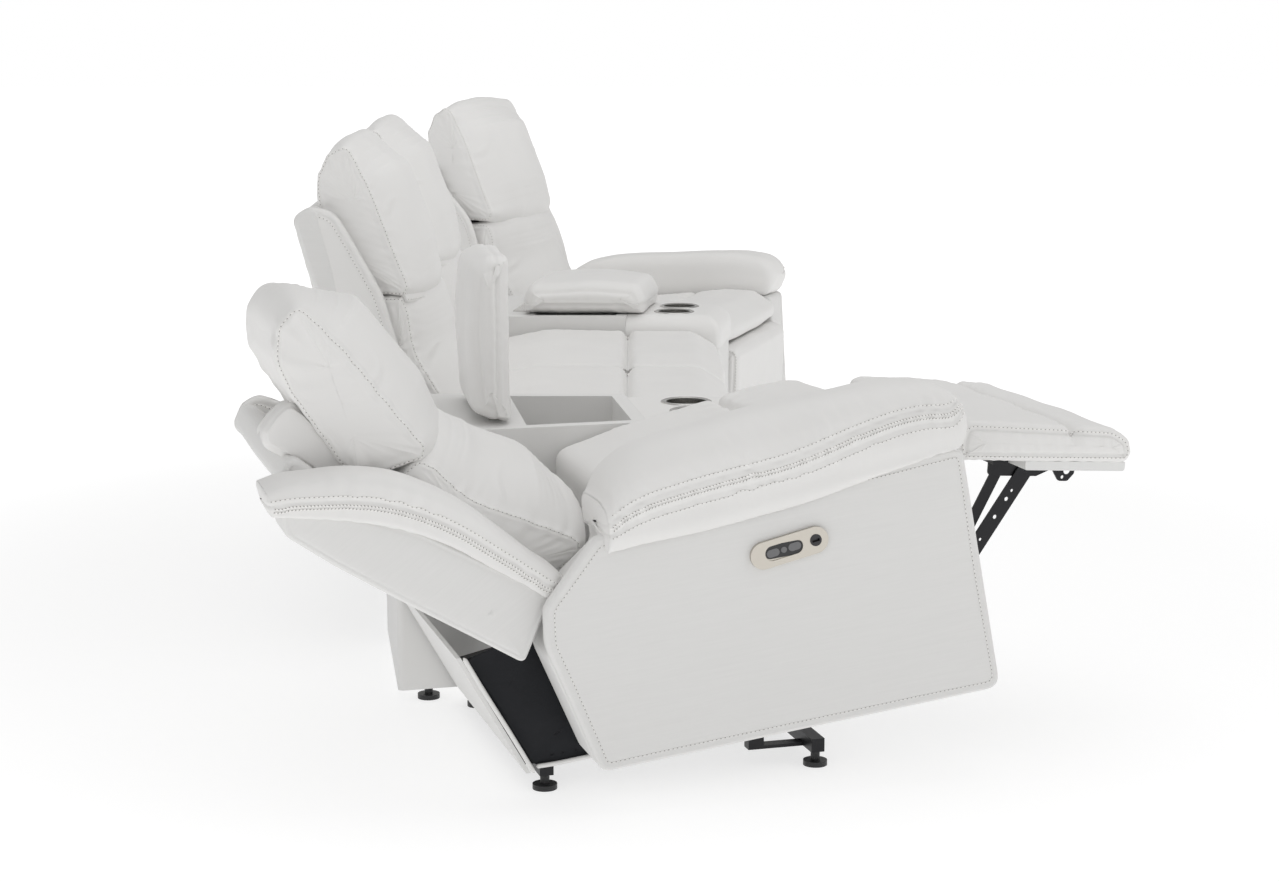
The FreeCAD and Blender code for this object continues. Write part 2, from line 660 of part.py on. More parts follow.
def make_seat_box(seat):
    """Wooden box frame with the two steel side plates of the mechanism bolted under it."""
    pieces = []
    across = seat.across("4", "recliner_width")
    height = ("box_bottom", "box_top")
    pieces.append(block(
        seat.label("front_board"), across, ("box_front", "box_front + board_thick"), height))
    pieces.append(block(
        seat.label("rear_board"), across, ("box_rear - board_thick", "box_rear"), height))
    pieces.append(block(
        seat.label("deck_board"), across, ("box_front", "box_rear"), ("box_top - 8", "box_top")))
    inner = seat.across("4", "4 + board_thick")
    pieces.append(block(seat.label("inner_board"), inner, ("box_front", "box_rear"), height))
    outer = seat.across("recliner_width - board_thick", "recliner_width")
    pieces.append(block(seat.label("outer_board"), outer, ("box_front", "box_rear"), height))
    low, high = plate_level(0)
    for index, across in enumerate(seat.both(low, high)):
        name = seat.label("side_plate_%d" % index)
        plate = pad_body(name, "YZ_Plane", [
            ("pivot_depth - 20", "box_bottom + 30"), ("pivot_depth - 20", "pivot_height - 22"),
            ("pivot_depth + 60", "pivot_height - 30"), ("tilt_depth - 90", "tilt_height + 60"),
            ("tilt_depth - 20", "tilt_height - 18"), ("tilt_depth + 20", "tilt_height - 18"),
            ("tilt_depth + 20", "tilt_height + 30"), ("recline_depth + 24", "recline_height + 24"),
            ("recline_depth + 4", "box_bottom + 30"),
        ], across[0], across[1], {1: 18.0, 3: 30.0, 4: 16.0, 5: 16.0, 7: 20.0})

        def holes(sketch):
            draw_circle(sketch, ("tilt_depth", "tilt_height"), "tilt_pin + pin_play")
            draw_circle(sketch, ("recline_depth", "recline_height"), "recline_pin + pin_play")
            draw_circle(sketch, ("pivot_depth + 130", "pivot_height - 6"), "11")
            draw_circle(sketch, ("pivot_depth + 210", "pivot_height - 14"), "14")
            draw_circle(sketch, ("pivot_depth + 300", "pivot_height - 24"), "17")

        pocket(plate, name + "_holes", "YZ_Plane", across[0], holes)
        pieces.append(plate)
        inside = plate_level(1)
        pin = seat.both(low, inside[1])[index]
        pieces.append(rod(
            name + "_pin", "x", ("pivot_depth", "pivot_height"), "link_pin", pin[0], pin[1]))
    seat.keep(fuse(seat.label("seat_box"), pieces), "seat_box", seat.seat)


def make_seat_cushion(seat):
    low, high = seat.span(s.seat_gap + 3, s.recliner_width - 4)
    points = seat_outline(s.box_top + s.soft_gap, s.box_front + s.board_thick / 2)
    seat.keep(cushion(seat.label("seat_cushion"), points, low, high), "seat_cushion", seat.seat)


def wing_room(sketch):
    """The space inside the arm's outer skin that the wing of the back swings through."""
    draw_polygon(sketch, [
        ("arm_notch_depth - 22", "arm_shoulder + 40"), ("arm_notch_depth - 22", "arm_notch_height - 36"),
        ("arm_rear + 28", "arm_rear_mid"), ("arm_rear + 82", "arm_rear_mid - 100"),
        ("arm_rear + 200", "arm_rear_mid - 100"), ("arm_rear + 200", "arm_shoulder + 40")])


def make_arm(seat):
    """Upholstered arm box with its cut-back rear edge, and the pillow that lies along its top."""
    across = seat.across("recliner_width", "recliner_width + arm_width")
    panel = pad_body(seat.label("arm_panel"), "YZ_Plane", [
        ("-2", "arm_bottom"), ("arm_rear", "arm_bottom"), ("arm_rear_bulge - 2", "arm_rear_mid - 60"),
        ("arm_rear_bulge - 6", "arm_rear_mid"), ("arm_notch_depth", "arm_notch_height"),
        ("arm_notch_depth - 26", "arm_notch_height + 2"),
        ("36", "arm_shoulder"), ("14", "arm_shoulder - 4"),
    ], across[0], across[1], {0: 24.0, 1: 14.0, 2: 40.0, 3: 26.0, 7: 10.0})
    inside = seat.across("recliner_width - 2", "recliner_width + arm_width - arm_skin")
    pocket(panel, seat.label("wing_room"), "YZ_Plane", inside[0], wing_room,
           "(%s) - (%s)" % (inside[1], inside[0]))
    seat.keep(panel, "arm_panel", seat.seat)
    low = s.recliner_width - 3.7
    high = s.recliner_width + s.arm_width + s.pad_overhang
    low, high = seat.span(low, high)
    top = s.arm_height
    slope = (s.arm_shoulder - s.arm_notch_height - 2) / (s.arm_notch_depth - 26 - 36)
    gap = s.soft_gap * 1.1

    def seat_line(depth):
        return s.arm_shoulder - slope * (depth - 36) + gap

    rear = s.arm_notch_depth - 28
    points = [
        (rear, seat_line(rear), 0.12), (rear - 2, seat_line(rear) + 46, 0.20),
        (rear - 60, top - 62, 0.12), (rear - 190, top - 24, 0.03), (110, top - 2, 0.16),
        (30, top - 34, 0.36), (14, seat_line(36) + 24, 0.30), (40, seat_line(40), 0)]
    pad = arm_pillow(seat.label("arm_pad"), points, low, high)
    seat.keep(pad, "arm_pad", seat.seat)


def arm_pillow(name, points, low, high):
    """A pillow whose underside stays on the sloping arm while its sides round over."""
    width = high - low
    ribs = [(0.5, 0.0, -0.03)]
    for share, draw_in, shrink in (
            (0.30, 0.0, 0.0), (0.16, 0.004, 0.05), (0.07, 0.012, 0.14), (0.02, 0.022, 0.26),
            (0.0, 0.034, 0.40)):
        ribs.insert(0, (share, draw_in, shrink))
        ribs.append((1 - share, draw_in, shrink))
    base_rear, base_front = points[0], points[-1]
    lean = (base_front[1] - base_rear[1]) / (base_front[0] - base_rear[0])
    centre = (points[0][0] + points[6][0]) / 2
    wires = []
    for share, draw_in, shrink in ribs:
        placed = []
        for depth, height, bulge in points:
            base = base_rear[1] + lean * (depth - base_rear[0])
            new_depth = centre + (depth - centre) * (1 - draw_in)
            new_base = base_rear[1] + lean * (new_depth - base_rear[0])
            placed.append((new_depth, new_base + (height - base) * (1 - shrink), bulge))
        wires.append(side_wire(placed, low + share * width, 0, 0, 0, 0))
    item = doc.addObject("Part::Feature", name)
    item.Shape = Part.makeLoft(wires, True, True)
    return item


def panel_place(seat):
    """The control panel's own frame: first axis to the front along the arm, normal outwards."""
    outside = seat.sign * (s.recliner_width + s.arm_width)
    origin = Vector(outside, s.panel_depth, s.panel_height)
    turn = Rotation(Vector(0, -1, 0), Vector(0, 0, 1), Vector(seat.sign, 0, 0), "XZY")
    if seat.sign > 0:
        turn = Rotation(Vector(0, 1, 0), Vector(0, 0, 1), Vector(1, 0, 0), "ZXY")
    lean = Rotation(Vector(1, 0, 0), -s.panel_angle)
    return Placement(origin, lean * turn)


def front_sign(seat):
    """Which way along the panel's first axis the front of the seat lies."""
    return "-" if seat.sign > 0 else ""


def slot_body(name, centre, half_length, radius, low, high):
    body = doc.addObject("PartDesign::Body", name)
    outline = sketch_on(body, name + "_outline", "XY_Plane", low)
    draw_slot(outline, centre, half_length, radius)
    pad = body.newObject("PartDesign::Pad", name + "_pad")
    pad.Profile = outline
    bind(pad, "Length", "(%s) - (%s)" % (high, low))
    doc.recompute()
    return body


def make_controls(seat):
    """Satin plate with a dark recess, two oval buttons, a small round one and a charging port."""
    place = seat.seat * panel_place(seat)
    sign = front_sign(seat)
    plate = slot_body(
        seat.label("control_plate"), ("0", "0"), "(panel_length - panel_width) / 2",
        "panel_width / 2", "0", "panel_thick")
    pill = "%s(-pill_offset)" % sign
    pocket(
        plate, seat.label("pill"), "XY_Plane", "panel_thick - pill_deep",
        lambda sketch: draw_slot(
            sketch, (pill, "0"), "(pill_length - pill_width) / 2", "pill_width / 2"), "pill_deep")
    centres = {
        "rear_button": "%s + %s(-oval_spacing / 2)" % (pill, sign),
        "front_button": "%s + %s(oval_spacing / 2)" % (pill, sign)}

    def wells(sketch):
        for centre in centres.values():
            draw_slot(
                sketch, (centre, "0"), "(oval_length - oval_width) / 2", "oval_width / 2 + button_play")
        draw_circle(sketch, (pill, "0"), "home_radius + button_play")
        draw_circle(sketch, ("%s(port_offset)" % sign, "0"), "port_radius + 0.1")

    pocket(plate, seat.label("wells"), "XY_Plane", "0", wells)
    seat.keep(plate, "control_plate", place)
    low = "button_travel + button_play"
    high = "panel_thick - pill_deep + button_rise"
    for piece, centre in centres.items():
        button = slot_body(
            seat.label(piece), (centre, "0"), "(oval_length - oval_width) / 2", "oval_width / 2",
            low, high)
        seat.keep(button, piece, place)
    home = group(seat.label("home_button"), [
        rod(seat.label("home_cap"), "z", (pill, "0"), "home_radius", low, high)])
    seat.keep(home, "home_button", place)
    port = cut(
        seat.label("charging_port"),
        rod(seat.label("port_body"), "z", ("%s(port_offset)" % sign, "0"), "port_radius", "0.2",
            "panel_thick + 0.8"),
        block(seat.label("port_mouth"), ("%s(port_offset) - 6.5" % sign, "%s(port_offset) + 6.5" % sign),
              ("-2.6", "2.6"), ("2.5", "panel_thick + 2")))
    seat.keep(port, "charging_port", place)


def make_linkage(seat):
    """Lower links, perforated upper links and stays of the footrest, left and right of the seat."""
    links = OPEN if seat.opened else SHUT
    lower, upper, stays = [], [], []
    for index in (0, 1):
        level = [seat.both(*plate_level(number))[index] for number in range(6)]
        name = seat.label("lower_%d" % index)
        bar = link_bar(name, level[1], "lower_link", "link_width", [
            ("0", "link_pin + pin_play"), ("lower_link / 2", "6")])
        first, second = plate_level(1)[0], plate_level(2)[1]
        reach = seat.both(first, second)[index]
        pin = rod(name + "_elbow_pin", "x", ("-lower_link", "0"), "link_pin", reach[0], reach[1])
        reach = seat.both(first, plate_level(4)[1])[index]
        ear_y = "-lower_link - (%.3f)" % EAR.x
        ear_z = "%.3f" % EAR.y
        ear_pin = rod(
            name + "_ear_pin", "x", (ear_y, ear_z), "stay_pin_radius", reach[0], reach[1])
        tab = pad_body(name + "_tab", "YZ_Plane", ear_tab(), level[1][0], level[1][1], {1: 9.0, 2: 9.0})
        lower.append(fuse(name + "_link", [bar, pin, ear_pin, tab]))
        name = seat.label("upper_%d" % index)
        upper.append(link_bar(name, level[2], "upper_link", "link_width", [
            ("0", "link_pin + pin_play"), ("upper_link", "link_pin + pin_play"),
            ("upper_link - 44", "3"), ("upper_link - 62", "4"), ("upper_link - 100", "4"),
            ("upper_link - 148", "3"), ("upper_link - 176", "4")]))
        name = seat.label("stay_%d" % index)
        stays.append(link_bar(name, level[4], "%.3f" % STAY_LENGTH, "stay_width", [
            ("0", "stay_pin_radius + stay_play"), ("%.3f" % STAY_LENGTH, "link_pin + pin_play")]))
    seat.keep(group(seat.label("lower_links"), lower), "lower_links",
              seat.seat * lay(links.pivot, links.lower))
    seat.keep(group(seat.label("upper_links"), upper), "upper_links",
              seat.seat * lay(links.elbow, links.upper))
    seat.keep(group(seat.label("link_stays"), stays), "link_stays",
              seat.seat * lay(links.ear, links.stay))


def ear_tab():
    """The lower link's ear, a plate from the link's end out to the stay's pin."""
    way = EAR / EAR.Length
    across = pair(-way.y, way.x) * 9.0
    tip = EAR + way * 9.0
    corners = []
    for point in (pair(0, 0) + across, tip + across, tip - across, pair(0, 0) - across):
        corners.append(("-lower_link - (%.3f)" % point.x, "%.3f" % point.y))
    return corners


def make_footrest(seat):
    """Footrest board, its steel brackets and the double pad, drawn along the board's own frame."""
    links = OPEN if seat.opened else SHUT
    place = seat.seat * lay(links.edge, links.angle)
    across = seat.across("24", "recliner_width - 24")
    board = pad_body(seat.label("footrest_board"), "YZ_Plane", [
        ("-board_start", "-rest_board"), ("-board_start", "0"), ("-rest_length + 4", "0"),
        ("-rest_length + 4", "-rest_board"),
    ], across[0], across[1], {0: 3.0, 3: 5.0})
    seat.keep(board, "footrest_board", place)
    pieces = []
    for index in (0, 1):
        name = seat.label("bracket_%d" % index)
        web = seat.both(*plate_level(3))[index]
        plate = pad_body(name, "YZ_Plane", [
            ("-stay_pin + 22", "-rest_board"), ("-rest_length + 52", "-rest_board"),
            ("-rest_length + 54", "-rest_board - 22"), ("-rest_length + 66", "-rest_board - 36"),
            ("-rest_length + 84", "-rest_board - 36"), ("-rest_length + 98", "-rest_board - 14"),
            ("-rest_pin - 24", "-pin_drop - 12"), ("-stay_pin + 22", "-pin_drop - 12"),
        ], web[0], web[1], {2: 6.0, 3: 7.0, 4: 7.0, 7: 8.0})

        def holes(sketch):
            draw_circle(sketch, ("-rest_length + 68", "-rest_board - 17"), "7")
            draw_circle(sketch, ("-rest_length + 76", "-rest_board - 29"), "3.4")
            draw_circle(sketch, ("-rest_pin - 30", "-rest_board - 8"), "2.6")

        pocket(plate, name + "_holes", "YZ_Plane", web[0], holes)
        pieces.append(plate)
        flange = seat.both(plate_level(3)[0], plate_level(3)[0] + " + 28")[index]
        pieces.append(block(
            name + "_flange", flange, ("-rest_length + 56", "-board_start - 4"),
            ("-rest_board - 3", "-rest_board")))
        for pin, first, last in (("rest_pin", 2, 3), ("stay_pin", 3, 4)):
            reach = seat.both(plate_level(first)[0], plate_level(last)[1])[index]
            pieces.append(rod(
                "%s_%s" % (name, pin), "x", ("-" + pin, "-pin_drop"), "link_pin", reach[0], reach[1]))
    block_across = seat.across("side_plate_across - 10", "recliner_width - side_plate_across + 10")
    pieces.append(block(
        seat.label("stop_block"), block_across, ("-board_start + 1", "-board_start + 30"),
        ("-rest_board - 3", "-2")))
    seat.keep(fuse(seat.label("footrest_bracket"), pieces), "footrest_bracket", place)
    low, high = seat.span(10.0, s.recliner_width - 10.0)
    top = s.rest_thick
    gap = s.soft_gap
    points = [
        (-2.0, gap, 0.30), (-4.0, top - 12, 0.30), (-26.0, top, 0.05),
        (-s.rest_crease + 20, top - 8, 0.16), (-s.rest_crease, top - 26, 0),
        (-s.rest_crease - 18, top - 10, 0.10), (-s.rest_length + 44, top - 16, 0.36),
        (-s.rest_length, 20.0, 0.30), (-s.rest_length + 12, gap, 0)]
    points = [(depth, height, -bulge) for depth, height, bulge in points]
    pad = cushion(seat.label("footrest_pad"), points, low, high, 22.0, 0.03, 0.12, 0.0)
    seat.keep(pad, "footrest_pad", place)


def make_back(seat):
    """Outer back with a thin cheek beside the console and a padded wing behind the arm."""
    across = seat.across("4", "recliner_width")
    shell = pad_body(
        seat.label("outer_back"), "YZ_Plane",
        shell_outline(False), across[0], across[1], SHELL_ROUNDS)
    hollow = seat.across("4 + cheek_width", "recliner_width - 4")
    pocket(
        shell, seat.label("shell_cavity"), "YZ_Plane", hollow[0], shell_cavity,
        "(%s) - (%s)" % (hollow[1], hollow[0]))
    across = seat.across("recliner_width - 4", "recliner_width + wing_width - 4")
    wing = pad_body(
        seat.label("wing"), "YZ_Plane", wing_outline(), across[0], across[1], WING_ROUNDS)
    seat.keep(fuse(seat.label("back_shell"), [shell, wing]), "back_shell", seat.back)
    low, high = seat.span(
        4 + s.cheek_width + s.pad_side_gap, s.recliner_width - 4 - s.pad_side_gap)
    gap = s.upright_thick + s.soft_gap
    lumbar = cushion(
        seat.label("lumbar_cushion"), lumbar_outline(gap), low, high, 26.0, 0.10, 0.03, 0.0)
    seat.keep(lumbar, "lumbar_cushion", seat.back)
    head = cushion(seat.label("headrest_pad"), head_outline(gap + 1), low, high, 30.0, 0.12, 0.05, 0.0)
    seat.keep(head, "headrest_pad", seat.head)
    pieces = []
    for index in (0, 1):
        name = seat.label("post_%d" % index)
        post = seat.both("side_plate_across - plate_pitch", "side_plate_across - plate_pitch + 4")[index]
        foot = "shell_rear_low - shell_wall"
        pieces.append(pad_body(name, "YZ_Plane", [
            ("recline_depth - 16", "recline_height - 16"), ("recline_depth + 16", "recline_height - 16"),
            (foot + " + 24", "shell_low - 24"), (foot + " + 24", "shell_low - 1"),
            (foot + " - 1", "shell_low + 10"), (foot + " - 24", "shell_low + 34"),
            ("recline_depth - 16", "recline_height + 10"),
        ], post[0], post[1], {0: 14.0, 1: 14.0}))
        pin = seat.both("side_plate_across - plate_pitch", "side_plate_across + plate_thick")[index]
        pieces.append(rod(
            name + "_pin", "x", ("recline_depth", "recline_height"), "recline_pin", pin[0], pin[1]))
        lean = "(shell_rear_top - shell_rear_low) / (shell_top - 22 - shell_low)"
        rear = "shell_rear_low - shell_wall + " + lean + " * ((%s) - shell_low)"
        upright = seat.both("side_plate_across - 22", "side_plate_across - 1")[index]
        low, high = "shell_low + 4", "head_height + 8"
        pieces.append(pad_body(name + "_upright", "YZ_Plane", [
            (rear % low, low), (rear % high, high), ("(%s) - upright_thick" % (rear % high), high),
            ("(%s) - upright_thick" % (rear % low), low)], upright[0], upright[1]))
        arm = seat.both("side_plate_across - 14", "side_plate_across - 2")[index]
        pieces.append(block(
            name + "_head_arm", arm, ("head_depth", "(%s) - 3" % (rear % "head_height - 10")),
            ("head_height - 10", "head_height + 8")))
    tube = seat.across("side_plate_across - 16", "recliner_width - side_plate_across + 16")
    pieces.append(rod(
        seat.label("head_tube"), "x", ("head_depth", "head_height"), "head_tube", tube[0], tube[1]))
    bar = seat.across("side_plate_across - plate_pitch", "recliner_width - side_plate_across + plate_pitch")
    pieces.append(rod(
        seat.label("back_tube"), "x", ("recline_depth + 60", "recline_height + 60"), "9", bar[0], bar[1]))
    seat.keep(fuse(seat.label("back_frame"), pieces), "back_frame", seat.back)


def make_recliner(seat):
    make_base(seat)
    make_carriage(seat)
    make_seat_box(seat)
    make_seat_cushion(seat)
    make_arm(seat)
    make_controls(seat)
    make_linkage(seat)
    make_footrest(seat)
    make_back(seat)


# Wedge consoles
class Console:
    """One wedge between two seats; opened tells how far its lid is raised, from 0 to 1."""

    def __init__(self, name, sign, opened):
        self.name = name
        bend = math.radians(s.bend_angle / 2)
        centre = Vector(
            sign * (s.seat_width + s.console_front / 2 * math.cos(bend)),
            -s.console_front / 2 * math.sin(bend), 0)
        centre += Vector(s.centre_across, -s.centre_depth, 0)
        self.base = Placement(centre, Rotation(Vector(0, 0, 1), -sign * s.bend_angle / 2))
        self.lid = self.base * turn_about(
            s.hinge_depth, s.deck_height + s.hinge_rise, s.lid_opening * opened)

    def label(self, piece):
        return self.name + "_console_" + piece


def half_width(depth):
    return "console_front / 2 - seat_gap + (%s) * tan(bend_angle / 2)" % depth


def wedge(name, front, rear, side, low, high, rounds=None):
    """A wedge-shaped block; side is how far in from the console's sides it stays."""
    corners = []
    for depth, sign in ((front, -1), (front, 1), (rear, 1), (rear, -1)):
        text = "(%s) - (%s)" % (half_width(depth), side)
        corners.append((text if sign > 0 else minus(text), depth))
    return pad_body(name, "XY_Plane", corners, low, high, rounds)


def make_console(unit):
    """Carcass with the storage bin, the padded deck with its cup wells, and the lid."""
    body = wedge(
        unit.label("carcass"), "4", "console_depth", "0", "base_height / 2", "deck_height",
        {0: 16.0, 1: 16.0, 2: 10.0, 3: 10.0})

    def step(sketch):
        draw_polygon(sketch, [
            ("-console_front", "-20"), ("console_front", "-20"), ("console_front", "deck_depth"),
            ("-console_front", "deck_depth")])

    pocket(body, unit.label("deck_step"), "XY_Plane", "deck_height - deck_thick", step, "deck_thick + 1")

    def hollow(sketch):
        corners = []
        rear = "hinge_depth - bin_rear_wall"
        for depth, sign in (("bin_front", -1), ("bin_front", 1), (rear, 1), (rear, -1)):
            text = "(%s) - console_side" % half_width(depth)
            corners.append((text if sign > 0 else minus(text), depth))
        draw_polygon(sketch, corners)

    pocket(body, unit.label("bin"), "XY_Plane", "bin_floor", hollow, "deck_height - bin_floor + 1")
    keep(body, unit.label("carcass"), unit.base)
    deck = wedge(
        unit.label("deck"), "-2", "deck_depth - 0.3", "0", "deck_height - deck_thick + 0.3",
        "deck_height", {0: 16.0, 1: 16.0})
    top_edge = []
    for index, edge in enumerate(deck.Shape.Edges, start=1):
        box = edge.BoundBox
        if box.ZMin > s.deck_height - 0.1 and box.YMax < 30:
            top_edge.append("Edge%d" % index)
    front = deck.newObject("PartDesign::Fillet", unit.label("waterfall"))
    front.Base = (deck.Group[-2], top_edge)
    bind(front, "Radius", "deck_thick * 0.6")
    doc.recompute()

    def wells(sketch):
        for sign in ("-", ""):
            draw_circle(sketch, (sign + "cup_spacing / 2", "cup_depth_line"), "cup_radius + 0.5")

    pocket(deck, unit.label("wells"), "XY_Plane", "deck_height - deck_thick", wells)
    keep(deck, unit.label("deck"), unit.base)
    barrel = rod(
        unit.label("hinge_room"), "x", ("hinge_depth", "deck_height + hinge_rise"),
        "barrel_radius + soft_gap", "-300", "300")
    lid = cut(unit.label("lid"), lid_form(unit), barrel)
    keep(lid, unit.label("lid"), unit.lid)


def lid_form(unit):
    """The upholstered lid: four rings, its sides full at the seam and its top crowned."""
    rings = ((0.0, 7.0, 0.0), (0.16, 0.0, 0.0), (0.66, 0.0, 0.0), (0.90, 9.0, 0.0), (1.0, 26.0, 0.0))
    bottom = s.deck_height + 2 * s.soft_gap
    wires = []
    for share, inset, shift in rings:
        height = bottom + share * s.lid_thick
        corners = []
        rear = s.hinge_depth - s.lid_gap
        for depth, sign in ((s.lid_front, -1), (s.lid_front, 1), (rear, 1), (rear, -1)):
            half = s.console_front / 2 - s.seat_gap + depth * math.tan(math.radians(s.bend_angle / 2))
            room = half - inset - 2
            moved = depth + (inset if depth == s.lid_front else -inset)
            corners.append(Vector(sign * room, moved, height))
        wires.append(rounded_ring(corners, 26.0))
    form = doc.addObject("Part::Feature", unit.label("lid_form"))
    form.Shape = Part.makeLoft(wires, True, False)
    return form


def rounded_ring(corners, radius):
    """A closed outline through the corners, each turned with a quarter arc."""
    count = len(corners)
    edges = []
    for index in range(count):
        before = corners[index - 1]
        here = corners[index]
        after = corners[(index + 1) % count]
        back = (before - here).normalize()
        ahead = (after - here).normalize()
        start = here + back * radius
        end = here + ahead * radius
        middle = here + (back + ahead) * (radius * (1 - math.sqrt(0.5)))
        edges.append(Part.Arc(start, middle, end).toShape())
        following = after + (here - after).normalize() * radius
        edges.append(Part.LineSegment(end, following).toShape())
    return Part.Wire(edges)


def lid_hinge(unit):
    """Fixed leaf on the carcass and the barrel that the lid turns on."""
    leaf = block(
        unit.label("leaf"), ("-110", "110"), ("hinge_depth - 3", "hinge_depth + 34"),
        ("deck_height", "deck_height + 2"))
    web = block(
        unit.label("leaf_web"), ("-110", "110"), ("hinge_depth + 2", "hinge_depth + 6"),
        ("deck_height", "deck_height + hinge_rise"))
    barrel = rod(
        unit.label("barrel"), "x", ("hinge_depth", "deck_height + hinge_rise"), "barrel_radius",
        "-110", "110")
    item = fuse(unit.label("hinge"), [leaf, web, barrel])
    item.Placement = unit.base
    return item


def cup(unit, sign):
    """A drawn steel cup with a rolled flange, hung in the deck's well."""
    name = unit.label("cup_left" if sign < 0 else "cup_right")
    body = doc.addObject("PartDesign::Body", name)
    outline = sketch_on(body, name + "_outline", "XZ_Plane", "0")
    top = "deck_height + 3"
    draw_polygon(outline, [
        ("0", "deck_height - cup_depth"), ("cup_radius - 4", "deck_height - cup_depth"),
        ("cup_radius", "deck_height - cup_depth + 6"), ("cup_radius", "deck_height + 0.2"),
        ("cup_flange", "deck_height + 0.2"), ("cup_flange - 1", "deck_height + 1.6"),
        ("cup_flange - 5", top), ("cup_radius - cup_wall", "deck_height + 0.8"),
        ("cup_radius - cup_wall", "deck_height - cup_depth + 6"),
        ("cup_radius - 5", "deck_height - cup_depth + cup_wall"),
        ("0", "deck_height - cup_depth + cup_wall")])
    turn = body.newObject("PartDesign::Revolution", name + "_turn")
    turn.Profile = outline
    turn.ReferenceAxis = (outline, ["V_Axis"])
    turn.Angle = 360
    doc.recompute()
    place = Placement(Vector(sign * s.cup_spacing / 2, s.cup_depth_line, 0), Rotation())
    body.Placement = unit.base * place
    return body


# Middle pair of seats
REACH = "seat_gap * cos(bend_angle / 2)"


def middle_place():
    return Placement(Vector(s.centre_across, -s.centre_depth, 0), Rotation())


def make_middle_base():
    """One upholstered frame under the middle pair, with a padded front rail."""
    across = ("-seat_width - %s" % REACH, "seat_width + %s" % REACH)
    body = pad_body("middle_base", "YZ_Plane", [
        ("4", "base_height"), ("middle_rear", "base_height"), ("middle_rear", "box_bottom - 10"),
        ("box_front", "box_bottom - 10"), ("box_front", "nose_bottom - soft_gap"),
        ("4", "nose_bottom - soft_gap"),
    ], across[0], across[1], {0: 12.0, 5: 10.0})
    keep(body, "middle_base", middle_place())


def make_middle_seat(name, low_text, high_text, low, high):
    points = seat_outline(s.box_bottom - 10 + s.soft_gap, s.box_front + s.soft_gap)
    seat = cushion(
        name + "_seat_cushion", points, low + 2, high - 2, shrink=0.20, crown=0.03, level=s.nose_bottom)
    keep(seat, name + "_seat_cushion", middle_place())
    shell = pad_body(
        name + "_back_shell", "YZ_Plane",
        shell_outline(True), low_text, high_text, SHELL_ROUNDS)
    cheeks = ("(%s) + cheek_width" % low_text, "(%s) - cheek_width" % high_text)
    pocket(shell, name + "_cavity", "YZ_Plane", cheeks[0], shell_cavity,
           "(%s) - (%s)" % (cheeks[1], cheeks[0]))
    keep(shell, name + "_back_shell", middle_place())
    inner_low = low + s.cheek_width + s.pad_side_gap
    inner_high = high - s.cheek_width - s.pad_side_gap
    lumbar = cushion(
        name + "_lumbar", lumbar_outline(s.soft_gap), inner_low, inner_high, 26.0, 0.10, 0.03, 0.0)
    head = cushion(name + "_head", head_outline(s.soft_gap), inner_low, inner_high, 30.0, 0.12, 0.05, 0.0)
    keep(group(name + "_back_cushions", [lumbar, head]), name + "_back_cushions", middle_place())


def glide(name, place, across, depth, height):
    """A round foot with its threaded stem."""
    foot = rod(name + "_foot", "z", (across, depth), "glide_radius", "0", "glide_height")
    stem = rod(name + "_stem", "z", (across, depth), "stem_radius", "glide_height", height)
    item = fuse(name, [foot, stem])
    item.Placement = place
    return item


def make_glides(seats, units):
    """Every foot of the sofa, all alike but for the length of the stem."""
    feet = []
    for seat in seats:
        for row, depth in enumerate(("glide_front", "glide_rear")):
            spots = seat.both("glide_inset", "glide_inset")
            for side, spot in enumerate(spots):
                feet.append(glide(
                    "%s_glide_%d%d" % (seat.name, row, side), seat.base, spot[0], depth, "tube_height"))
    for unit in units:
        for row, depth in enumerate(("glide_front", "console_depth - 60")):
            for side, sign in enumerate(("-", "")):
                spot = "%s((%s) - 46)" % (sign, half_width(depth))
                feet.append(glide(
                    unit.label("glide_%d%d" % (row, side)), unit.base, spot, depth, "base_height / 2"))
    for row, depth in enumerate(("glide_front", "middle_rear - 60")):
        for side, spot in enumerate(("-seat_width + 60", "0", "seat_width - 60")):
            feet.append(glide(
                "middle_glide_%d%d" % (row, side), middle_place(), spot, depth, "base_height"))
    keep(group("floor_glides", feet), "floor_glides")


def make_sofa():
    seats = (Recliner("near", -1, 1.0), Recliner("far", 1, 0.0))
    units = (Console("near", -1, 1.0), Console("far", 1, 0.0))
    for seat in seats:
        make_recliner(seat)
    keep(group("drive_units", [drive_unit(seat) for seat in seats]), "drive_units")
    keep(group("rear_skirts", [rear_skirt(seat) for seat in seats]), "rear_skirts")
    for unit in units:
        make_console(unit)
    keep(group("lid_hinges", [lid_hinge(unit) for unit in units]), "lid_hinges")
    cups = [cup(unit, sign) for unit in units for sign in (-1, 1)]
    keep(group("cup_holders", cups), "cup_holders")
    make_middle_base()
    make_middle_seat("middle_left", "-seat_width + seat_gap", "-1", -s.seat_width + s.seat_gap, -1.0)
    make_middle_seat("middle_right", "1", "seat_width - seat_gap", 1.0, s.seat_width - s.seat_gap)
    make_glides(seats, units)
    return seats, units


def check_and_write():
    """Stops on a failed object or a bad shape, then writes one file for each sub-part."""
    doc.recompute()
    for item in doc.Objects:
        if "Invalid" in item.State or "Error" in item.State:
            raise RuntimeError("%s failed: %s" % (item.Name, item.State))
    os.makedirs("parts", exist_ok=True)
    for item in NODES:
        if item.Shape.isNull() or not item.Shape.isValid():
            raise RuntimeError(item.Label + " has a bad shape")
        item.Shape.exportStep("parts/%s.step" % item.Label)
    box = NODES[0].Shape.BoundBox
    for item in NODES:
        box.add(item.Shape.BoundBox)
    print("%d sub-parts, box %s" % (len(NODES), box))


SEATS, CONSOLES = make_sofa()
check_and_write()
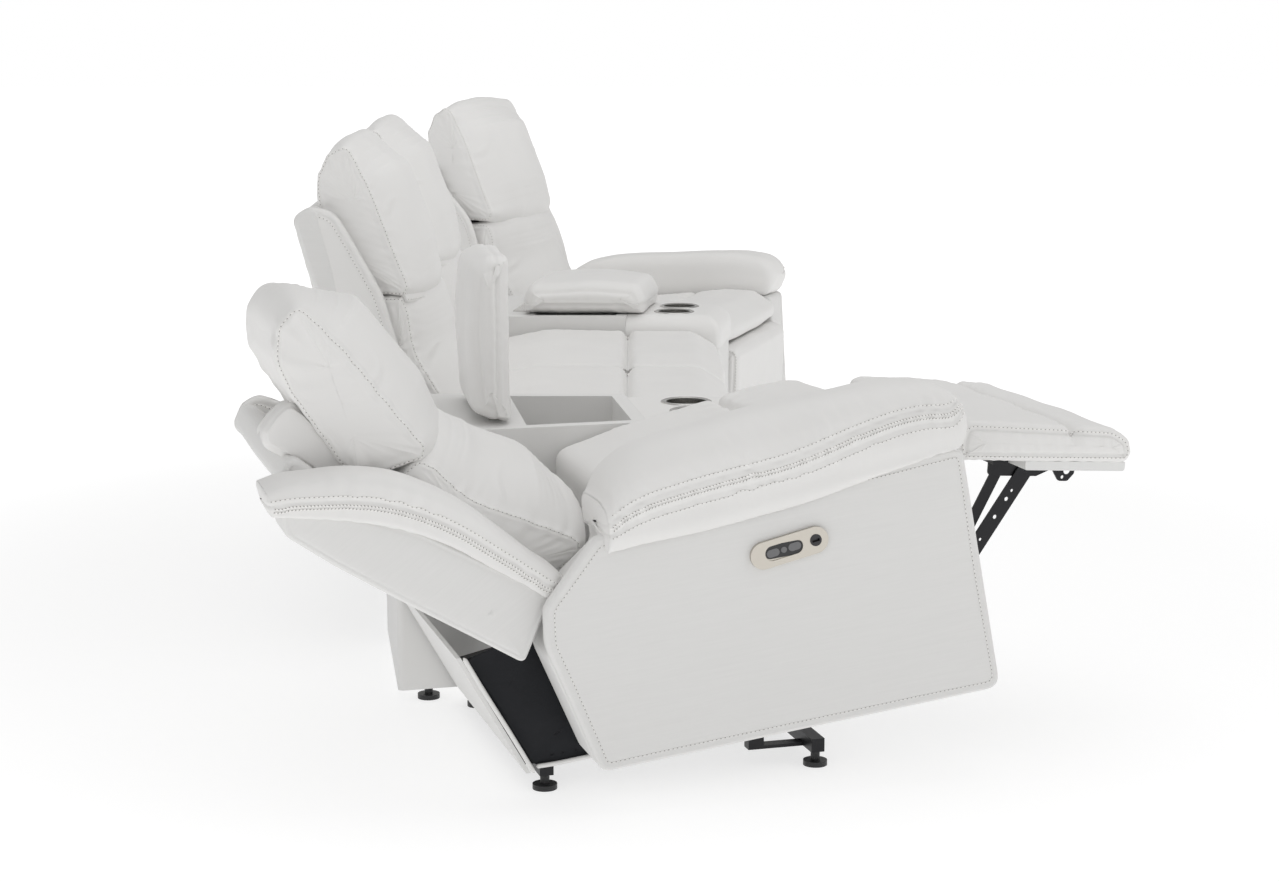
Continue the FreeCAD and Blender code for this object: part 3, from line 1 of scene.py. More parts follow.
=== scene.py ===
import math

import bpy
import numpy as np
from mathutils import Matrix, Vector


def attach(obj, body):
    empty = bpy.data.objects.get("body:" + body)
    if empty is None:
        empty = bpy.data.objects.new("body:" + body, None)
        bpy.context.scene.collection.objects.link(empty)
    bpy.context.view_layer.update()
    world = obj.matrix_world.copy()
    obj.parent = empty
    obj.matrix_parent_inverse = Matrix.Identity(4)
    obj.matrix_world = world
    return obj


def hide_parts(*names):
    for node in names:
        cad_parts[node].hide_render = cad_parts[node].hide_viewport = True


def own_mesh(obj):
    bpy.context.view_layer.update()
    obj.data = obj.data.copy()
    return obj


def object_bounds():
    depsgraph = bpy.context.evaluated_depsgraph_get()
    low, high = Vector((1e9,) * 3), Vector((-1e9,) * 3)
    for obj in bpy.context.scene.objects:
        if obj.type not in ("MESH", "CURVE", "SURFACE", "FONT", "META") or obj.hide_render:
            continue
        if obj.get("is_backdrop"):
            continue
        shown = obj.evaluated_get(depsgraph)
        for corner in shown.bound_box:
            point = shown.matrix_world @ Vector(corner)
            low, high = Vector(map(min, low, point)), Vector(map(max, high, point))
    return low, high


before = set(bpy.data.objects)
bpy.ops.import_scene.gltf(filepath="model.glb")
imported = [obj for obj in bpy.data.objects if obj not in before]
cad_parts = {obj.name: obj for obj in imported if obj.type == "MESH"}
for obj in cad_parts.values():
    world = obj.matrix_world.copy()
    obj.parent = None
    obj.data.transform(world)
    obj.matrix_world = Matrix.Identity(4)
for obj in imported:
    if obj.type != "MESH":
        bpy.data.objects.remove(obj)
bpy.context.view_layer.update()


# ---- Places: every module is drawn in its own closed frame, in millimetres: across (away from
# the console), depth (towards the rear) and height. A matrix for each body brings it into the row.
SEAT, FRONT, BEND = 614.0, 286.0, math.radians(15.8)
SHIFT = (14.9, -145.05)
SLOPE, TRAVEL = math.radians(12.75), 169.9
TILT, RECLINE, NOD = 7.5, 30, -20
REST_OPEN, REST_SHUT = ((-26.6, 406.7), 11), ((50.0, 400.0), 90)


def turn(depth, height, degrees):
    there = Matrix.Translation((0, depth, height))
    return there @ Matrix.Rotation(math.radians(-degrees), 4, "X") @ there.inverted()


def module(sign, reach, angle):
    """A module whose front corner or centre lies reach along the bend from the middle pair."""
    corner = Matrix.Translation((
        sign * (SEAT + reach * math.cos(BEND / 2)) + SHIFT[0],
        -reach * math.sin(BEND / 2) + SHIFT[1], 0))
    spin = Matrix.Rotation(-sign * angle, 4, "Z")
    return Matrix.Scale(0.001, 4) @ corner @ spin @ Matrix.Diagonal((sign, 1, 1, 1))


def recliner(sign, opened):
    base = module(sign, FRONT, BEND)
    travel = TRAVEL * opened
    slide = Matrix.Translation((0, -travel * math.cos(SLOPE), travel * math.sin(SLOPE)))
    seat = base @ slide @ turn(620, 130, TILT * opened)
    back = seat @ turn(560, 250, RECLINE * opened)
    edge, angle = REST_OPEN if opened else REST_SHUT
    tip = Matrix.Translation((0, *edge)) @ Matrix.Rotation(math.radians(angle), 4, "X")
    return {
        "base": base, "seat": seat, "back": back,
        "head": back @ turn(722, 700, NOD * opened), "rest": seat @ tip}


SEATS = {"near": recliner(-1, 1), "far": recliner(1, 0)}
CONSOLES = {"near": module(-1, FRONT / 2, BEND / 2), "far": module(1, FRONT / 2, BEND / 2)}
MIDDLE = Matrix.Scale(0.001, 4) @ Matrix.Translation((*SHIFT, 0))


def spans(inner, outer):
    """The two middle seats' names, and how far each reaches across the row."""
    return ("middle_left", -outer, -inner), ("middle_right", inner, outer)


# ---- Shader maths: sockets that can be added, multiplied and compared, so that each finish reads
# as a short formula of noise and waves in the piece's own coordinates.
class Socket:
    def __init__(self, tree, socket):
        self.tree = tree
        self.socket = socket

    def math(self, operation, *others):
        node = self.tree.nodes.new("ShaderNodeMath")
        node.operation = operation
        for index, item in enumerate((self, *others)):
            if isinstance(item, Socket):
                self.tree.links.new(item.socket, node.inputs[index])
            else:
                node.inputs[index].default_value = item
        return Socket(self.tree, node.outputs[0])

    def __add__(self, other):
        return self.math("ADD", other)

    def __mul__(self, other):
        return self.math("MULTIPLY", other)

    def sine(self):
        return self.math("SINE")


def add(tree, kind, **values):
    """A new node with some of its inputs set."""
    node = tree.nodes.new(kind)
    for key, value in values.items():
        node.inputs[key.replace("_", " ")].default_value = value
    return node


class Finish:
    """A principled material; its texture helpers read the piece's local coordinates in metres."""

    def __init__(self, name, color, roughness, metallic=0.0, **more):
        self.material = bpy.data.materials.new(name)
        self.material.use_nodes = True
        self.tree = self.material.node_tree
        self.shader = self.tree.nodes["Principled BSDF"]
        self.set("Base Color", (*color, 1.0))
        self.set("Roughness", roughness)
        self.set("Metallic", metallic)
        for key, value in more.items():
            self.set(key.replace("_", " "), value)
        place = self.tree.nodes.new("ShaderNodeAttribute")
        place.attribute_name = "local"
        self.place = Socket(self.tree, place.outputs["Vector"])
        split = self.tree.nodes.new("ShaderNodeSeparateXYZ")
        self.tree.links.new(self.place.socket, split.inputs[0])
        self.z = Socket(self.tree, split.outputs["Z"])

    def set(self, name, value):
        if isinstance(value, Socket):
            self.tree.links.new(value.socket, self.shader.inputs[name])
        else:
            self.shader.inputs[name].default_value = value

    def noise(self, scale, detail=2.0, stretch=(1, 1, 1)):
        mapping = add(self.tree, "ShaderNodeMapping", Scale=stretch)
        self.tree.links.new(self.place.socket, mapping.inputs["Vector"])
        node = add(self.tree, "ShaderNodeTexNoise", Scale=scale, Detail=detail)
        self.tree.links.new(mapping.outputs[0], node.inputs["Vector"])
        return Socket(self.tree, node.outputs["Fac"])

    def mix(self, factor, first, second):
        node = self.tree.nodes.new("ShaderNodeMix")
        node.data_type = "RGBA"
        self.tree.links.new(factor.socket, node.inputs["Factor"])
        for name, color in (("A", first), ("B", second)):
            sockets = [s for s in node.inputs if s.name == name and s.type == "RGBA"]
            sockets[0].default_value = (*color, 1.0)
        outputs = [s for s in node.outputs if s.type == "RGBA"]
        return Socket(self.tree, outputs[0])

    def bump(self, height, strength, distance):
        node = add(self.tree, "ShaderNodeBump", Strength=strength, Distance=distance)
        self.tree.links.new(height.socket, node.inputs["Height"])
        self.set("Normal", Socket(self.tree, node.outputs[0]))


def leather(name, color):
    """Smooth, softly grained cover of the stuffed pads."""
    finish = Finish(name, color, 0.52, Specular_IOR_Level=0.35)
    grain = finish.noise(900.0, 3.0) * 0.5 + finish.noise(260.0, 2.0) * 0.5
    cloudy = finish.noise(9.0, 3.0)
    darker = tuple(channel * 0.955 for channel in color)
    finish.set("Base Color", finish.mix(cloudy, darker, color))
    finish.set("Roughness", finish.noise(30.0, 2.0) * 0.14 + 0.46)
    finish.bump(grain, 0.22, 0.0006)
    return finish.material


def weave(name, color):
    """Fine crosswise rib of the flat covers: irregular lines that run along the sofa's depth."""
    finish = Finish(name, color, 0.72, Specular_IOR_Level=0.2, Sheen_Weight=0.15)
    slub = finish.noise(60.0, 3.0, (0.5, 0.12, 3.0))
    streak = finish.noise(420.0, 2.0, (1.0, 0.05, 1.0))
    rib = (finish.z * 3600.0 + slub * 7.0).sine() * 0.25 + streak * 0.9
    tint = slub * 0.5 + streak * 0.5
    darker = tuple(channel * 0.93 for channel in color)
    finish.set("Base Color", finish.mix(tint, darker, color))
    finish.bump(rib, 0.30, 0.0007)
    return finish.material


def plain(name, color, roughness, metallic=0.0, grain=0.0, scale=500.0, **more):
    finish = Finish(name, color, roughness, metallic, **more)
    if grain:
        finish.bump(finish.noise(scale, 3.0), grain, 0.0006)
    return finish.material


PALE = (0.84, 0.832, 0.818)
pad_cover = leather("pad cover", PALE)
panel_cover = weave("panel cover", (0.80, 0.795, 0.782))
thread = plain("thread", (0.93, 0.92, 0.90), 0.6)
# Dark dots at the needle holes between stitches: painted shade in the holes.
hole = plain("needle hole shade", (0.36, 0.35, 0.33), 0.9)
lining = plain("white lining", (0.80, 0.80, 0.79), 0.7, grain=0.3)
dust_cloth = plain("black dust cloth", (0.010, 0.011, 0.014), 0.85, grain=0.5, scale=300.0)
black_steel = plain("black steel", (0.022, 0.022, 0.024), 0.38, 0.6, grain=0.15)
black_plastic = plain("black plastic", (0.018, 0.018, 0.019), 0.45)
bright_steel = plain("brushed steel", (0.62, 0.61, 0.59), 0.24, 1.0, grain=0.05, scale=900.0)
champagne = plain("champagne plate", (0.60, 0.565, 0.505), 0.34, 0.85, grain=0.06)
button_grey = plain("button grey", (0.16, 0.16, 0.165), 0.42)
port_black = plain("port black", (0.02, 0.02, 0.022), 0.22)


# ---- Meshes: outlines of corners with radii, rings laid on them, and the surface detail that
# makes upholstery: seams drawn in as grooves, puckers beside them and slow unevenness.
def outline(corners, count=200, blur=2):
    """Evenly spaced points round a closed polygon whose corners are (a, b, radius)."""
    size = len(corners)
    dense = []
    for index, (a, b, radius) in enumerate(corners):
        here = Vector((a, b))
        back = Vector(corners[index - 1][:2]) - here
        ahead = Vector(corners[(index + 1) % size][:2]) - here
        half = back.angle(ahead) / 2
        reach = min(radius / max(math.tan(half), 1e-3), back.length * 0.48, ahead.length * 0.48)
        start = here + back.normalized() * reach
        end = here + ahead.normalized() * reach
        for step in np.linspace(0, 1, 12):
            dense.append(start * (1 - step) ** 2 + here * (2 * step * (1 - step)) + end * step ** 2)
    dense = np.array([tuple(point) for point in dense])
    dense = resample(dense, count, True)
    for _ in range(blur):
        dense = (np.roll(dense, 1, 0) + dense * 2 + np.roll(dense, -1, 0)) / 4
    area = np.sum(dense[:, 0] * np.roll(dense[:, 1], -1) - np.roll(dense[:, 0], -1) * dense[:, 1])
    return dense if area > 0 else dense[::-1]


def resample(points, count, closed=False):
    points = np.asarray(points, float)
    if closed:
        points = np.vstack([points, points[:1]])
    lengths = np.r_[0, np.cumsum(np.linalg.norm(np.diff(points, axis=0), axis=1))]
    spots = np.linspace(0, lengths[-1], count + 1)[:-1] if closed else np.linspace(
        0, lengths[-1], count)
    return np.stack([np.interp(spots, lengths, column) for column in points.T], 1)


def curve(points, count):
    """A smooth open line through a few points."""
    points = np.asarray(points, float)
    knots = np.r_[0, np.cumsum(np.linalg.norm(np.diff(points, axis=0), axis=1))]
    slopes = np.gradient(points, knots, axis=0)
    rows = []
    for spot in np.linspace(0, knots[-1], count * 3):
        k = min(np.searchsorted(knots, spot, side="right") - 1, len(knots) - 2)
        step = knots[k + 1] - knots[k]
        t = (spot - knots[k]) / step
        rows.append(
            points[k] * (2 * t ** 3 - 3 * t ** 2 + 1) + slopes[k] * step * (t ** 3 - 2 * t ** 2 + t)
            + points[k + 1] * (3 * t ** 2 - 2 * t ** 3) + slopes[k + 1] * step * (t ** 3 - t ** 2))
    return resample(rows, count)


def inward(loop):
    """Unit normals of a counter-clockwise loop, pointing into it."""
    along = np.roll(loop, -1, 0) - np.roll(loop, 1, 0)
    along /= np.linalg.norm(along, axis=1)[:, None]
    return np.stack([-along[:, 1], along[:, 0]], 1)


def ripple(points, seed, wave, size):
    """Slow unevenness of a stuffed surface."""
    rng = np.random.default_rng(seed)
    total = np.zeros(points.shape[:-1])
    for _ in range(7):
        way = rng.normal(size=3)
        way *= 2 * math.pi / (wave * rng.uniform(0.6, 1.6)) / np.linalg.norm(way)
        total += np.sin(points @ way + rng.uniform(0, 6.28))
    return total * size / 3


def gathers(along, distance, seed, pitch, size, reach):
    """Small folds that stand on a seam and fade away from it."""
    rng = np.random.default_rng(seed)
    total = np.zeros(np.broadcast(along, distance).shape)
    for _ in range(6):
        length = pitch * rng.uniform(0.7, 2.2)
        lean = rng.uniform(-0.5, 0.5)
        total = total + np.sin((along + lean * distance) * 2 * math.pi / length + rng.uniform(0, 6.28))
    fade = np.exp(-distance / reach) * (1 - np.exp(-distance / 4.0))
    return total * fade * size / 2.4


def folds(x, t, strokes):
    """Long soft creases, each (x, t, length, width, angle, height, bow)."""
    total = np.zeros(np.broadcast(x, t).shape)
    for x0, t0, length, width, angle, height, bow in strokes:
        p = (x - x0) * math.cos(angle) + (t - t0) * math.sin(angle)
        q = (t - t0) * math.cos(angle) - (x - x0) * math.sin(angle) + bow * p * p / length
        total = total + height * np.exp(-(p / length) ** 2 - (q / width) ** 2)
    return total


def surface_normals(rings):
    """Outward normals of a stack of closed rings."""
    down = np.gradient(rings, axis=0)
    round_ = np.roll(rings, -1, 1) - np.roll(rings, 1, 1)
    normal = np.cross(down, round_)
    normal /= np.linalg.norm(normal, axis=2)[..., None] + 1e-9
    out = np.sum(normal * (rings - rings.mean(axis=(0, 1))), axis=2)
    return normal if out.sum() > 0 else -normal


def build(name, points, faces, place, body, material, weld=False):
    """Makes a smooth-shaded piece from local points and lets it ride on its body."""
    points = np.asarray(points, float).reshape(-1, 3)
    spread = np.c_[points, np.ones(len(points))] @ np.array(place).T
    mesh = bpy.data.meshes.new(name)
    if place.determinant() < 0:
        faces = [face[::-1] for face in faces]
    mesh.from_pydata(spread[:, :3].tolist(), [], [list(face) for face in faces])
    local = mesh.attributes.new("local", "FLOAT_VECTOR", "POINT")
    local.data.foreach_set("vector", (points * 0.001).ravel())
    mesh.polygons.foreach_set("use_smooth", [True] * len(mesh.polygons))
    mesh.materials.append(material)
    item = bpy.data.objects.new(name, mesh)
    bpy.context.scene.collection.objects.link(item)
    if weld:
        import bmesh
        work = bmesh.new()
        work.from_mesh(mesh)
        bmesh.ops.remove_doubles(work, verts=work.verts, dist=0.00005)
        bmesh.ops.recalc_face_normals(work, faces=work.faces)
        work.to_mesh(mesh)
        work.free()
    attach(item, body)
    return item


def ring_faces(rows, columns, closed=True):
    faces = []
    for i in range(rows - 1):
        for j in range(columns if closed else columns - 1):
            k = (j + 1) % columns
            faces.append((i * columns + j, i * columns + k, (i + 1) * columns + k, (i + 1) * columns + j))
    return faces


class Pillow:
    """A stuffed or boarded form across a module: an outline with rounded ends and bulging caps.

    The seam lies where the cap meets the rounding; distance is measured from the nearer seam."""

    def __init__(self, loop, low, high, rounding=20.0, crown=0.0, bulge=4.0, spine=None, across=40):
        self.loop = loop
        count = len(loop)
        inner = inward(loop)
        if spine is None:
            spine = (loop.mean(0), loop.mean(0))
        start, end = (np.asarray(p, float) for p in spine)
        way = end - start
        share = np.clip(((loop - start) @ way) / max(way @ way, 1e-6), 0, 1)
        middle = start + share[:, None] * way
        crown = np.broadcast_to(np.asarray(crown, float), (count,))[:, None]
        rounding = rounding if isinstance(rounding, tuple) else (rounding, rounding)
        bulge = bulge if isinstance(bulge, tuple) else (bulge, bulge)
        ends = []
        for edge, r, b, sign in (
                (low, rounding[0], bulge[0], 1), (high, rounding[1], bulge[1], -1)):
            stack = []
            seam = loop + inner * r
            for k in np.linspace(0, 1, 16)[:-1]:
                ring = middle + (seam - middle) * k ** 0.8
                stack.append((ring, edge + sign * b * (k ** 3)))
            for angle in np.linspace(0, math.pi / 2, 9):
                ring = loop + inner * r * (1 - math.sin(angle))
                stack.append((ring, edge + sign * (b + r * (1 - math.cos(angle)))))
            ends.append(stack)
        first = ends[0][-1][1]
        last = ends[1][-1][1]
        body = []
        for share in np.linspace(0, 1, across)[1:-1]:
            full = crown * (1 - abs(2 * share - 1) ** 2.4)
            body.append((loop - inner * full, first + (last - first) * share))
        stack = ends[0] + body + ends[1][::-1]
        self.rings = np.array([np.c_[np.full(count, u), ring] for ring, u in stack])
        self.seams = (15, len(stack) - 16)
        self.settle()

    def settle(self):
        self.normals = surface_normals(self.rings)
        rows = len(self.rings)
        near, far = self.rings[self.seams[0]], self.rings[self.seams[1]]
        split = rows // 2
        self.distance = np.where(
            (np.arange(rows) < split)[:, None],
            np.linalg.norm(self.rings - near, axis=2), np.linalg.norm(self.rings - far, axis=2))
        step = np.linalg.norm(np.roll(self.loop, -1, 0) - self.loop, axis=1)
        self.along = np.r_[0, np.cumsum(step)[:-1]]
        self.capped = np.zeros((rows, 1), bool)
        self.capped[:self.seams[0]] = True
        self.capped[self.seams[1] + 1:] = True

    def push(self, amount):
        """Moves the surface along its normals."""
        self.rings = self.rings + self.normals * amount[..., None]
        return self

    def seam(self, depth=3.0, width=3.2):
        return self.push(-depth * np.exp(-(self.distance / width) ** 2))

    def pucker(self, seed, pitch=16.0, size=1.2, reach=22.0, where=1.0):
        return self.push(gathers(self.along[None, :], self.distance, seed, pitch, size, reach) * where)

    def uneven(self, seed, wave=160.0, size=1.6):
        fade = np.clip(self.distance / 30.0, 0, 1)
        return self.push(ripple(self.rings, seed, wave, size) * fade)

    def path(self, side, offset, start=0.0, end=1.0):
        """Points and normals beside a seam; a positive offset lies on the panel, not the cap."""
        normals = surface_normals(self.rings)
        seam = self.seams[side]
        step = (1 if side == 0 else -1) * (1 if offset > 0 else -1)
        points, ups = [], []
        count = self.rings.shape[1]
        picks = [k % count for k in range(int(start * count), int(math.ceil(end * count)) + 1)]
        for j in picks:
            i, gone = seam, 0.0
            while True:
                size = np.linalg.norm(self.rings[i + step, j] - self.rings[i, j])
                if gone + size >= abs(offset) or not 1 < i + step < len(self.rings) - 2:
                    break
                gone += size
                i += step
            t = min((abs(offset) - gone) / max(size, 1e-6), 1.0)
            points.append(self.rings[i, j] * (1 - t) + self.rings[i + step, j] * t)
            ups.append(normals[i, j] * (1 - t) + normals[i + step, j] * t)
        return np.array(points), np.array(ups)

    def across(self, depth, height, lift=0.0):
        """Points and normals of a line that runs across the form, from seam to seam."""
        normals = surface_normals(self.rings)
        j = int(np.argmin(np.hypot(self.loop[:, 0] - depth, self.loop[:, 1] - height)))
        picks = slice(self.seams[0] + 3, self.seams[1] - 2)
        return self.rings[picks, j] + normals[picks, j] * lift, normals[picks, j]

    def make(self, name, place, body, material):
        rows, columns = self.rings.shape[:2]
        return build(name, self.rings, ring_faces(rows, columns), place, body, material, weld=True)


# ---- Stitches: every stitch is a point with its direction and the surface's normal, and a small
# node group sets a short rounded thread on each of them, with a dark dot of painted shade at the needle hole
# between two.
def stitch_group():
    group = bpy.data.node_groups.new("Set stitches", "GeometryNodeTree")
    for name, kind, way in (
            ("Points", "NodeSocketGeometry", "INPUT"), ("Length", "NodeSocketFloat", "INPUT"),
            ("Width", "NodeSocketFloat", "INPUT"), ("Thread", "NodeSocketMaterial", "INPUT"),
            ("Stitches", "NodeSocketGeometry", "OUTPUT")):
        group.interface.new_socket(name=name, socket_type=kind, in_out=way)
    new, link = group.nodes.new, group.links.new
    source, sink = new("NodeGroupInput"), new("NodeGroupOutput")
    ball = add(group, "GeometryNodeMeshUVSphere", Segments=6, Rings=3, Radius=0.5)
    size = new("ShaderNodeCombineXYZ")
    for index, name in enumerate(("Width", "Width", "Length")):
        link(source.outputs[name], size.inputs[index])
    shaped = new("GeometryNodeTransform")
    link(ball.outputs["Mesh"], shaped.inputs["Geometry"])
    link(size.outputs[0], shaped.inputs["Scale"])
    ways = []
    for name in ("along", "up"):
        read = new("GeometryNodeInputNamedAttribute")
        read.data_type = "FLOAT_VECTOR"
        read.inputs["Name"].default_value = name
        ways.append(read.outputs["Attribute"])
    first = new("FunctionNodeAlignRotationToVector")
    first.axis = "Z"
    link(ways[0], first.inputs["Vector"])
    second = new("FunctionNodeAlignRotationToVector")
    second.axis = "X"
    second.pivot_axis = "Z"
    link(first.outputs[0], second.inputs["Rotation"])
    link(ways[1], second.inputs["Vector"])
    laid = new("GeometryNodeInstanceOnPoints")
    link(source.outputs["Points"], laid.inputs["Points"])
    link(shaped.outputs[0], laid.inputs["Instance"])
    link(second.outputs[0], laid.inputs["Rotation"])
    real = new("GeometryNodeRealizeInstances")
    link(laid.outputs[0], real.inputs[0])
    colored = new("GeometryNodeSetMaterial")
    link(real.outputs[0], colored.inputs["Geometry"])
    link(source.outputs["Thread"], colored.inputs["Material"])
    smooth = new("GeometryNodeSetShadeSmooth")
    link(colored.outputs[0], smooth.inputs[0])
    link(smooth.outputs[0], sink.inputs[0])
    return group


STITCHES = stitch_group()


class Rows:
    """Collects the stitches of one body and lays them at once."""

    def __init__(self, name, place, body, length=5.8, width=2.1):
        self.name, self.place, self.body = name, place, body
        self.length, self.width = length, width
        self.spots, self.gaps = [], []

    def row(self, path, pitch=8.0, slant=0.0):
        """A single row along (points, normals)."""
        points, ups = path
        steps = np.linalg.norm(np.diff(points, axis=0), axis=1)
        total = steps.sum()
        spots = np.r_[0, np.cumsum(steps)]
        for spot in np.arange(pitch / 2, total, pitch):
            here = np.array([np.interp(spot, spots, column) for column in points.T])
            ahead = np.array([np.interp(min(spot + 1.5, total), spots, c) for c in points.T])
            behind = np.array([np.interp(max(spot - 1.5, 0), spots, c) for c in points.T])
            up = np.array([np.interp(spot, spots, column) for column in ups.T])
            along = ahead - behind
            along /= np.linalg.norm(along) + 1e-9
            side = np.cross(along, up)
            along = along + side * slant
            self.spots.append((here + up * 0.8, along, up))
            gap = np.array([np.interp(spot + pitch / 2, spots, column) for column in points.T])
            self.gaps.append((gap, along, up))

    def lace(self, path, pitch=5.6, spread=2.6):
        """Two rows that lean towards each other, like a laced seam."""
        points, ups = path
        along = np.gradient(points, axis=0)
        side = np.cross(along, ups)
        side /= np.linalg.norm(side, axis=1)[:, None] + 1e-9
        self.row((points + side * spread, ups), pitch, 0.8)
        self.row((points - side * spread, ups), pitch, -0.8)

    def lay(self):
        self.place_on(self.name, self.spots, self.length, self.width, thread)
        # The dark dots between the stitches are painted shade in the needle holes.
        self.place_on(self.name + "_holes", self.gaps, 2.4, 1.9, hole)

    def place_on(self, name, spots, length, width, material):
        matrix = np.array(self.place)
        at = np.array([spot[0] for spot in spots])
        at = (np.c_[at, np.ones(len(at))] @ matrix.T)[:, :3]
        mesh = bpy.data.meshes.new(name)
        mesh.vertices.add(len(at))
        mesh.vertices.foreach_set("co", at.ravel())
        for index, way in ((1, "along"), (2, "up")):
            ways = np.array([spot[index] for spot in spots]) @ matrix[:3, :3].T
            ways /= np.linalg.norm(ways, axis=1)[:, None] + 1e-12
            mesh.attributes.new(way, "FLOAT_VECTOR", "POINT").data.foreach_set("vector", ways.ravel())
        seed = bpy.data.objects.new(name, mesh)
        bpy.context.scene.collection.objects.link(seed)
        modifier = seed.modifiers.new("Set stitches", "NODES")
        modifier.node_group = STITCHES
        sockets = {s.name: s.identifier for s in STITCHES.interface.items_tree if s.in_out == "INPUT"}
        modifier[sockets["Length"]] = length * 0.001
        modifier[sockets["Width"]] = width * 0.001
        modifier[sockets["Thread"]] = material
        bpy.context.view_layer.update()
        held = seed.evaluated_get(bpy.context.evaluated_depsgraph_get())
        made = bpy.data.meshes.new_from_object(held)
        seed.modifiers.remove(modifier)
        seed.data = made
        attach(seed, self.body)


def stitch(name, place, body, paths, pitch=8.0, **thickness):
    """Single rows along a few paths, laid as one piece."""
    rows = Rows(name, place, body, **thickness)
    for path in paths:
        rows.row(path, pitch)
    rows.lay()


# ---- CAD pieces that stay as they are: only their finishes are set.
def paint(material, *names):
    for name in names:
        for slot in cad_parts[name].material_slots:
            slot.material = material


for side in ("near", "far"):
    paint(black_steel, *(side + "_" + piece for piece in (
        "base_frame", "carriage", "lower_links", "upper_links", "link_stays", "footrest_bracket",
        "back_frame")))
    paint(panel_cover, side + "_seat_box")
    paint(lining, side + "_footrest_board")
    paint(champagne, side + "_control_plate")
    paint(button_grey, side + "_rear_button", side + "_front_button", side + "_home_button")
    paint(port_black, side + "_charging_port")
paint(black_plastic, "drive_units", "floor_glides")
paint(bright_steel, "cup_holders", "lid_hinges")
paint(panel_cover, "rear_skirts", "middle_base", "near_console_carcass", "far_console_carcass")
paint(pad_cover, "near_console_deck", "far_console_deck")


def pad_piece(item, *nodes, fill=0.75):
    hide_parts(*nodes)
    return item


# ---- Seat cushions: boxed pads with a crosswise crease and a waterfall front; both side seams carry
# a row of stitches. Those of the recliners slope down to the rear.
def seat_cushion(name, node, place, body, low, high, bottom, top, seed):
    loop = outline([(556, bottom, 8), *top, (6, 448, 40), (12, 412.4, 14), (90, 412.4, 10),
                    (98, bottom, 6)], 260)
    form = Pillow(loop, low, high, 15.0, 5.0, 3.0, ((120, 440), (500, (bottom + top[0][1]) / 2)), 60)
    level = np.interp(231, [p[0] for p in top[::-1]], [p[1] for p in top[::-1]]) - 44
    rings = form.rings
    upper = np.clip((rings[..., 2] - level) / 30, 0, 1)
    crease = np.exp(-(np.abs(rings[..., 1] - 231) / 7.5) ** 1.3)
    form.push(-24 * crease * upper)
    form.settle()
    form.seam(2.6, 3.0).pucker(seed, 22, 1.0, 26).uneven(seed, 190, 1.8)
    x = rings[..., 0]
    form.push(gathers(x, np.abs(rings[..., 1] - 231), seed + 3, 26, 1.8, 40) * upper)
    item = form.make(name, place, body, pad_cover)
    pad_piece(item, node)
    stitch(name + "_stitches", place, body, [form.path(side, 6.0, 0.12, 0.72) for side in (0, 1)])


SLOPED = [(553, 434, 34), (430, 456, 90), (300, 470, 120), (236, 478, 60), (150, 489, 90), (70, 488, 46)]
LEVEL = [(554, 466, 34), (430, 490, 90), (232, 488, 60), (70, 486, 46)]
for side, seat in SEATS.items():
    seat_cushion(side + "_seat_pad", side + "_seat_cushion", seat["seat"], side + "_seat", 6, 577,
                 360.4, SLOPED, 11 if side == "near" else 12)
for seed, (name, low, high) in enumerate(spans(3, 609), 13):
    seat_cushion(name + "_seat_pad", name + "_seat_cushion", MIDDLE, "frame", low, high, 290.4, LEVEL, seed)


# ---- Lower back cushions and headrests: boxed pads whose full front meets the flat, gathered side
# panels on a stitched ridge; a double-stitched band crosses an upright back between the two.
def swell(loop, line, most, ends):
    """Crown of a loop: greatest beside the middle of the given stretch of its front."""
    line = curve(line, 60)
    near = np.array([np.hypot(*(line - point).T).min() for point in loop])
    place = np.array([np.hypot(*(line - point).T).argmin() / 59 for point in loop])
    first, last = ends
    full = np.interp(place, (0, 0.25, 0.75, 1), (first, 1, 1, last))
    return most * np.exp(-(near / 45) ** 2) * full


PULLS = [(0.07, 0.30, 0.5), (0.10, 0.62, -0.4), (0.93, 0.35, -0.5), (0.90, 0.66, 0.4), (0.3, 0.9, 1.3),
         (0.66, 0.92, 1.8)]


def pull_lines(form, seed, height):
    """Soft creases that run from the ridge seams into the full front."""
    rng = np.random.default_rng(seed)
    count = form.rings.shape[1]
    x = form.rings[..., 0]
    t = np.broadcast_to(form.along[None, :], x.shape)
    strokes = []
    for share, where, angle in PULLS:
        x0 = x.min() + (x.max() - x.min()) * share
        strokes.append((
            x0, form.along[int(where * (count - 1))], 50 * rng.uniform(0.8, 1.3),
            7 * rng.uniform(0.8, 1.4), angle + rng.uniform(-0.3, 0.3), height, rng.uniform(-0.6, 0.6)))
        strokes.append((
            x0 + 12, form.along[int(where * (count - 1))] + 16, 44, 9, angle, -height * 0.8, 0.3))
    form.push(folds(x, t, strokes))


def back_pad(name, place, body, low, high, loop, line, crown, ends, seed, nodes, skew=0.0):
    form = Pillow(loop, low, high, 11.0, swell(loop, line, crown, ends), 9.0,
                  (np.mean(loop, 0) + (6, -60), np.mean(loop, 0) + (6, 60)), 60)
    if skew:
        share = np.clip((high - form.rings[..., 0]) / (high - low), 0, 1)
        form.rings[..., 2] -= skew * share
        form.rings[..., 1] -= skew * 0.3 * share
        form.settle()
    form.push(2.6 * np.exp(-(form.distance / 4.0) ** 2))
    form.settle()
    form.pucker(seed, 26, 1.5, 30).uneven(seed, 190, 2.2)
    pull_lines(form, seed, 2.4)
    item = form.make(name, place, body, pad_cover)
    pad_piece(item, *nodes)
    stitch(name + "_stitches", place, body, [form.path(side, 7.0) for side in (0, 1)])
    return form


def board_face(height, gap):
    """Depth of a pad's rear, a gap in front of the leaning board behind it."""
    return 716 + 0.2694 * (height - 362) - gap


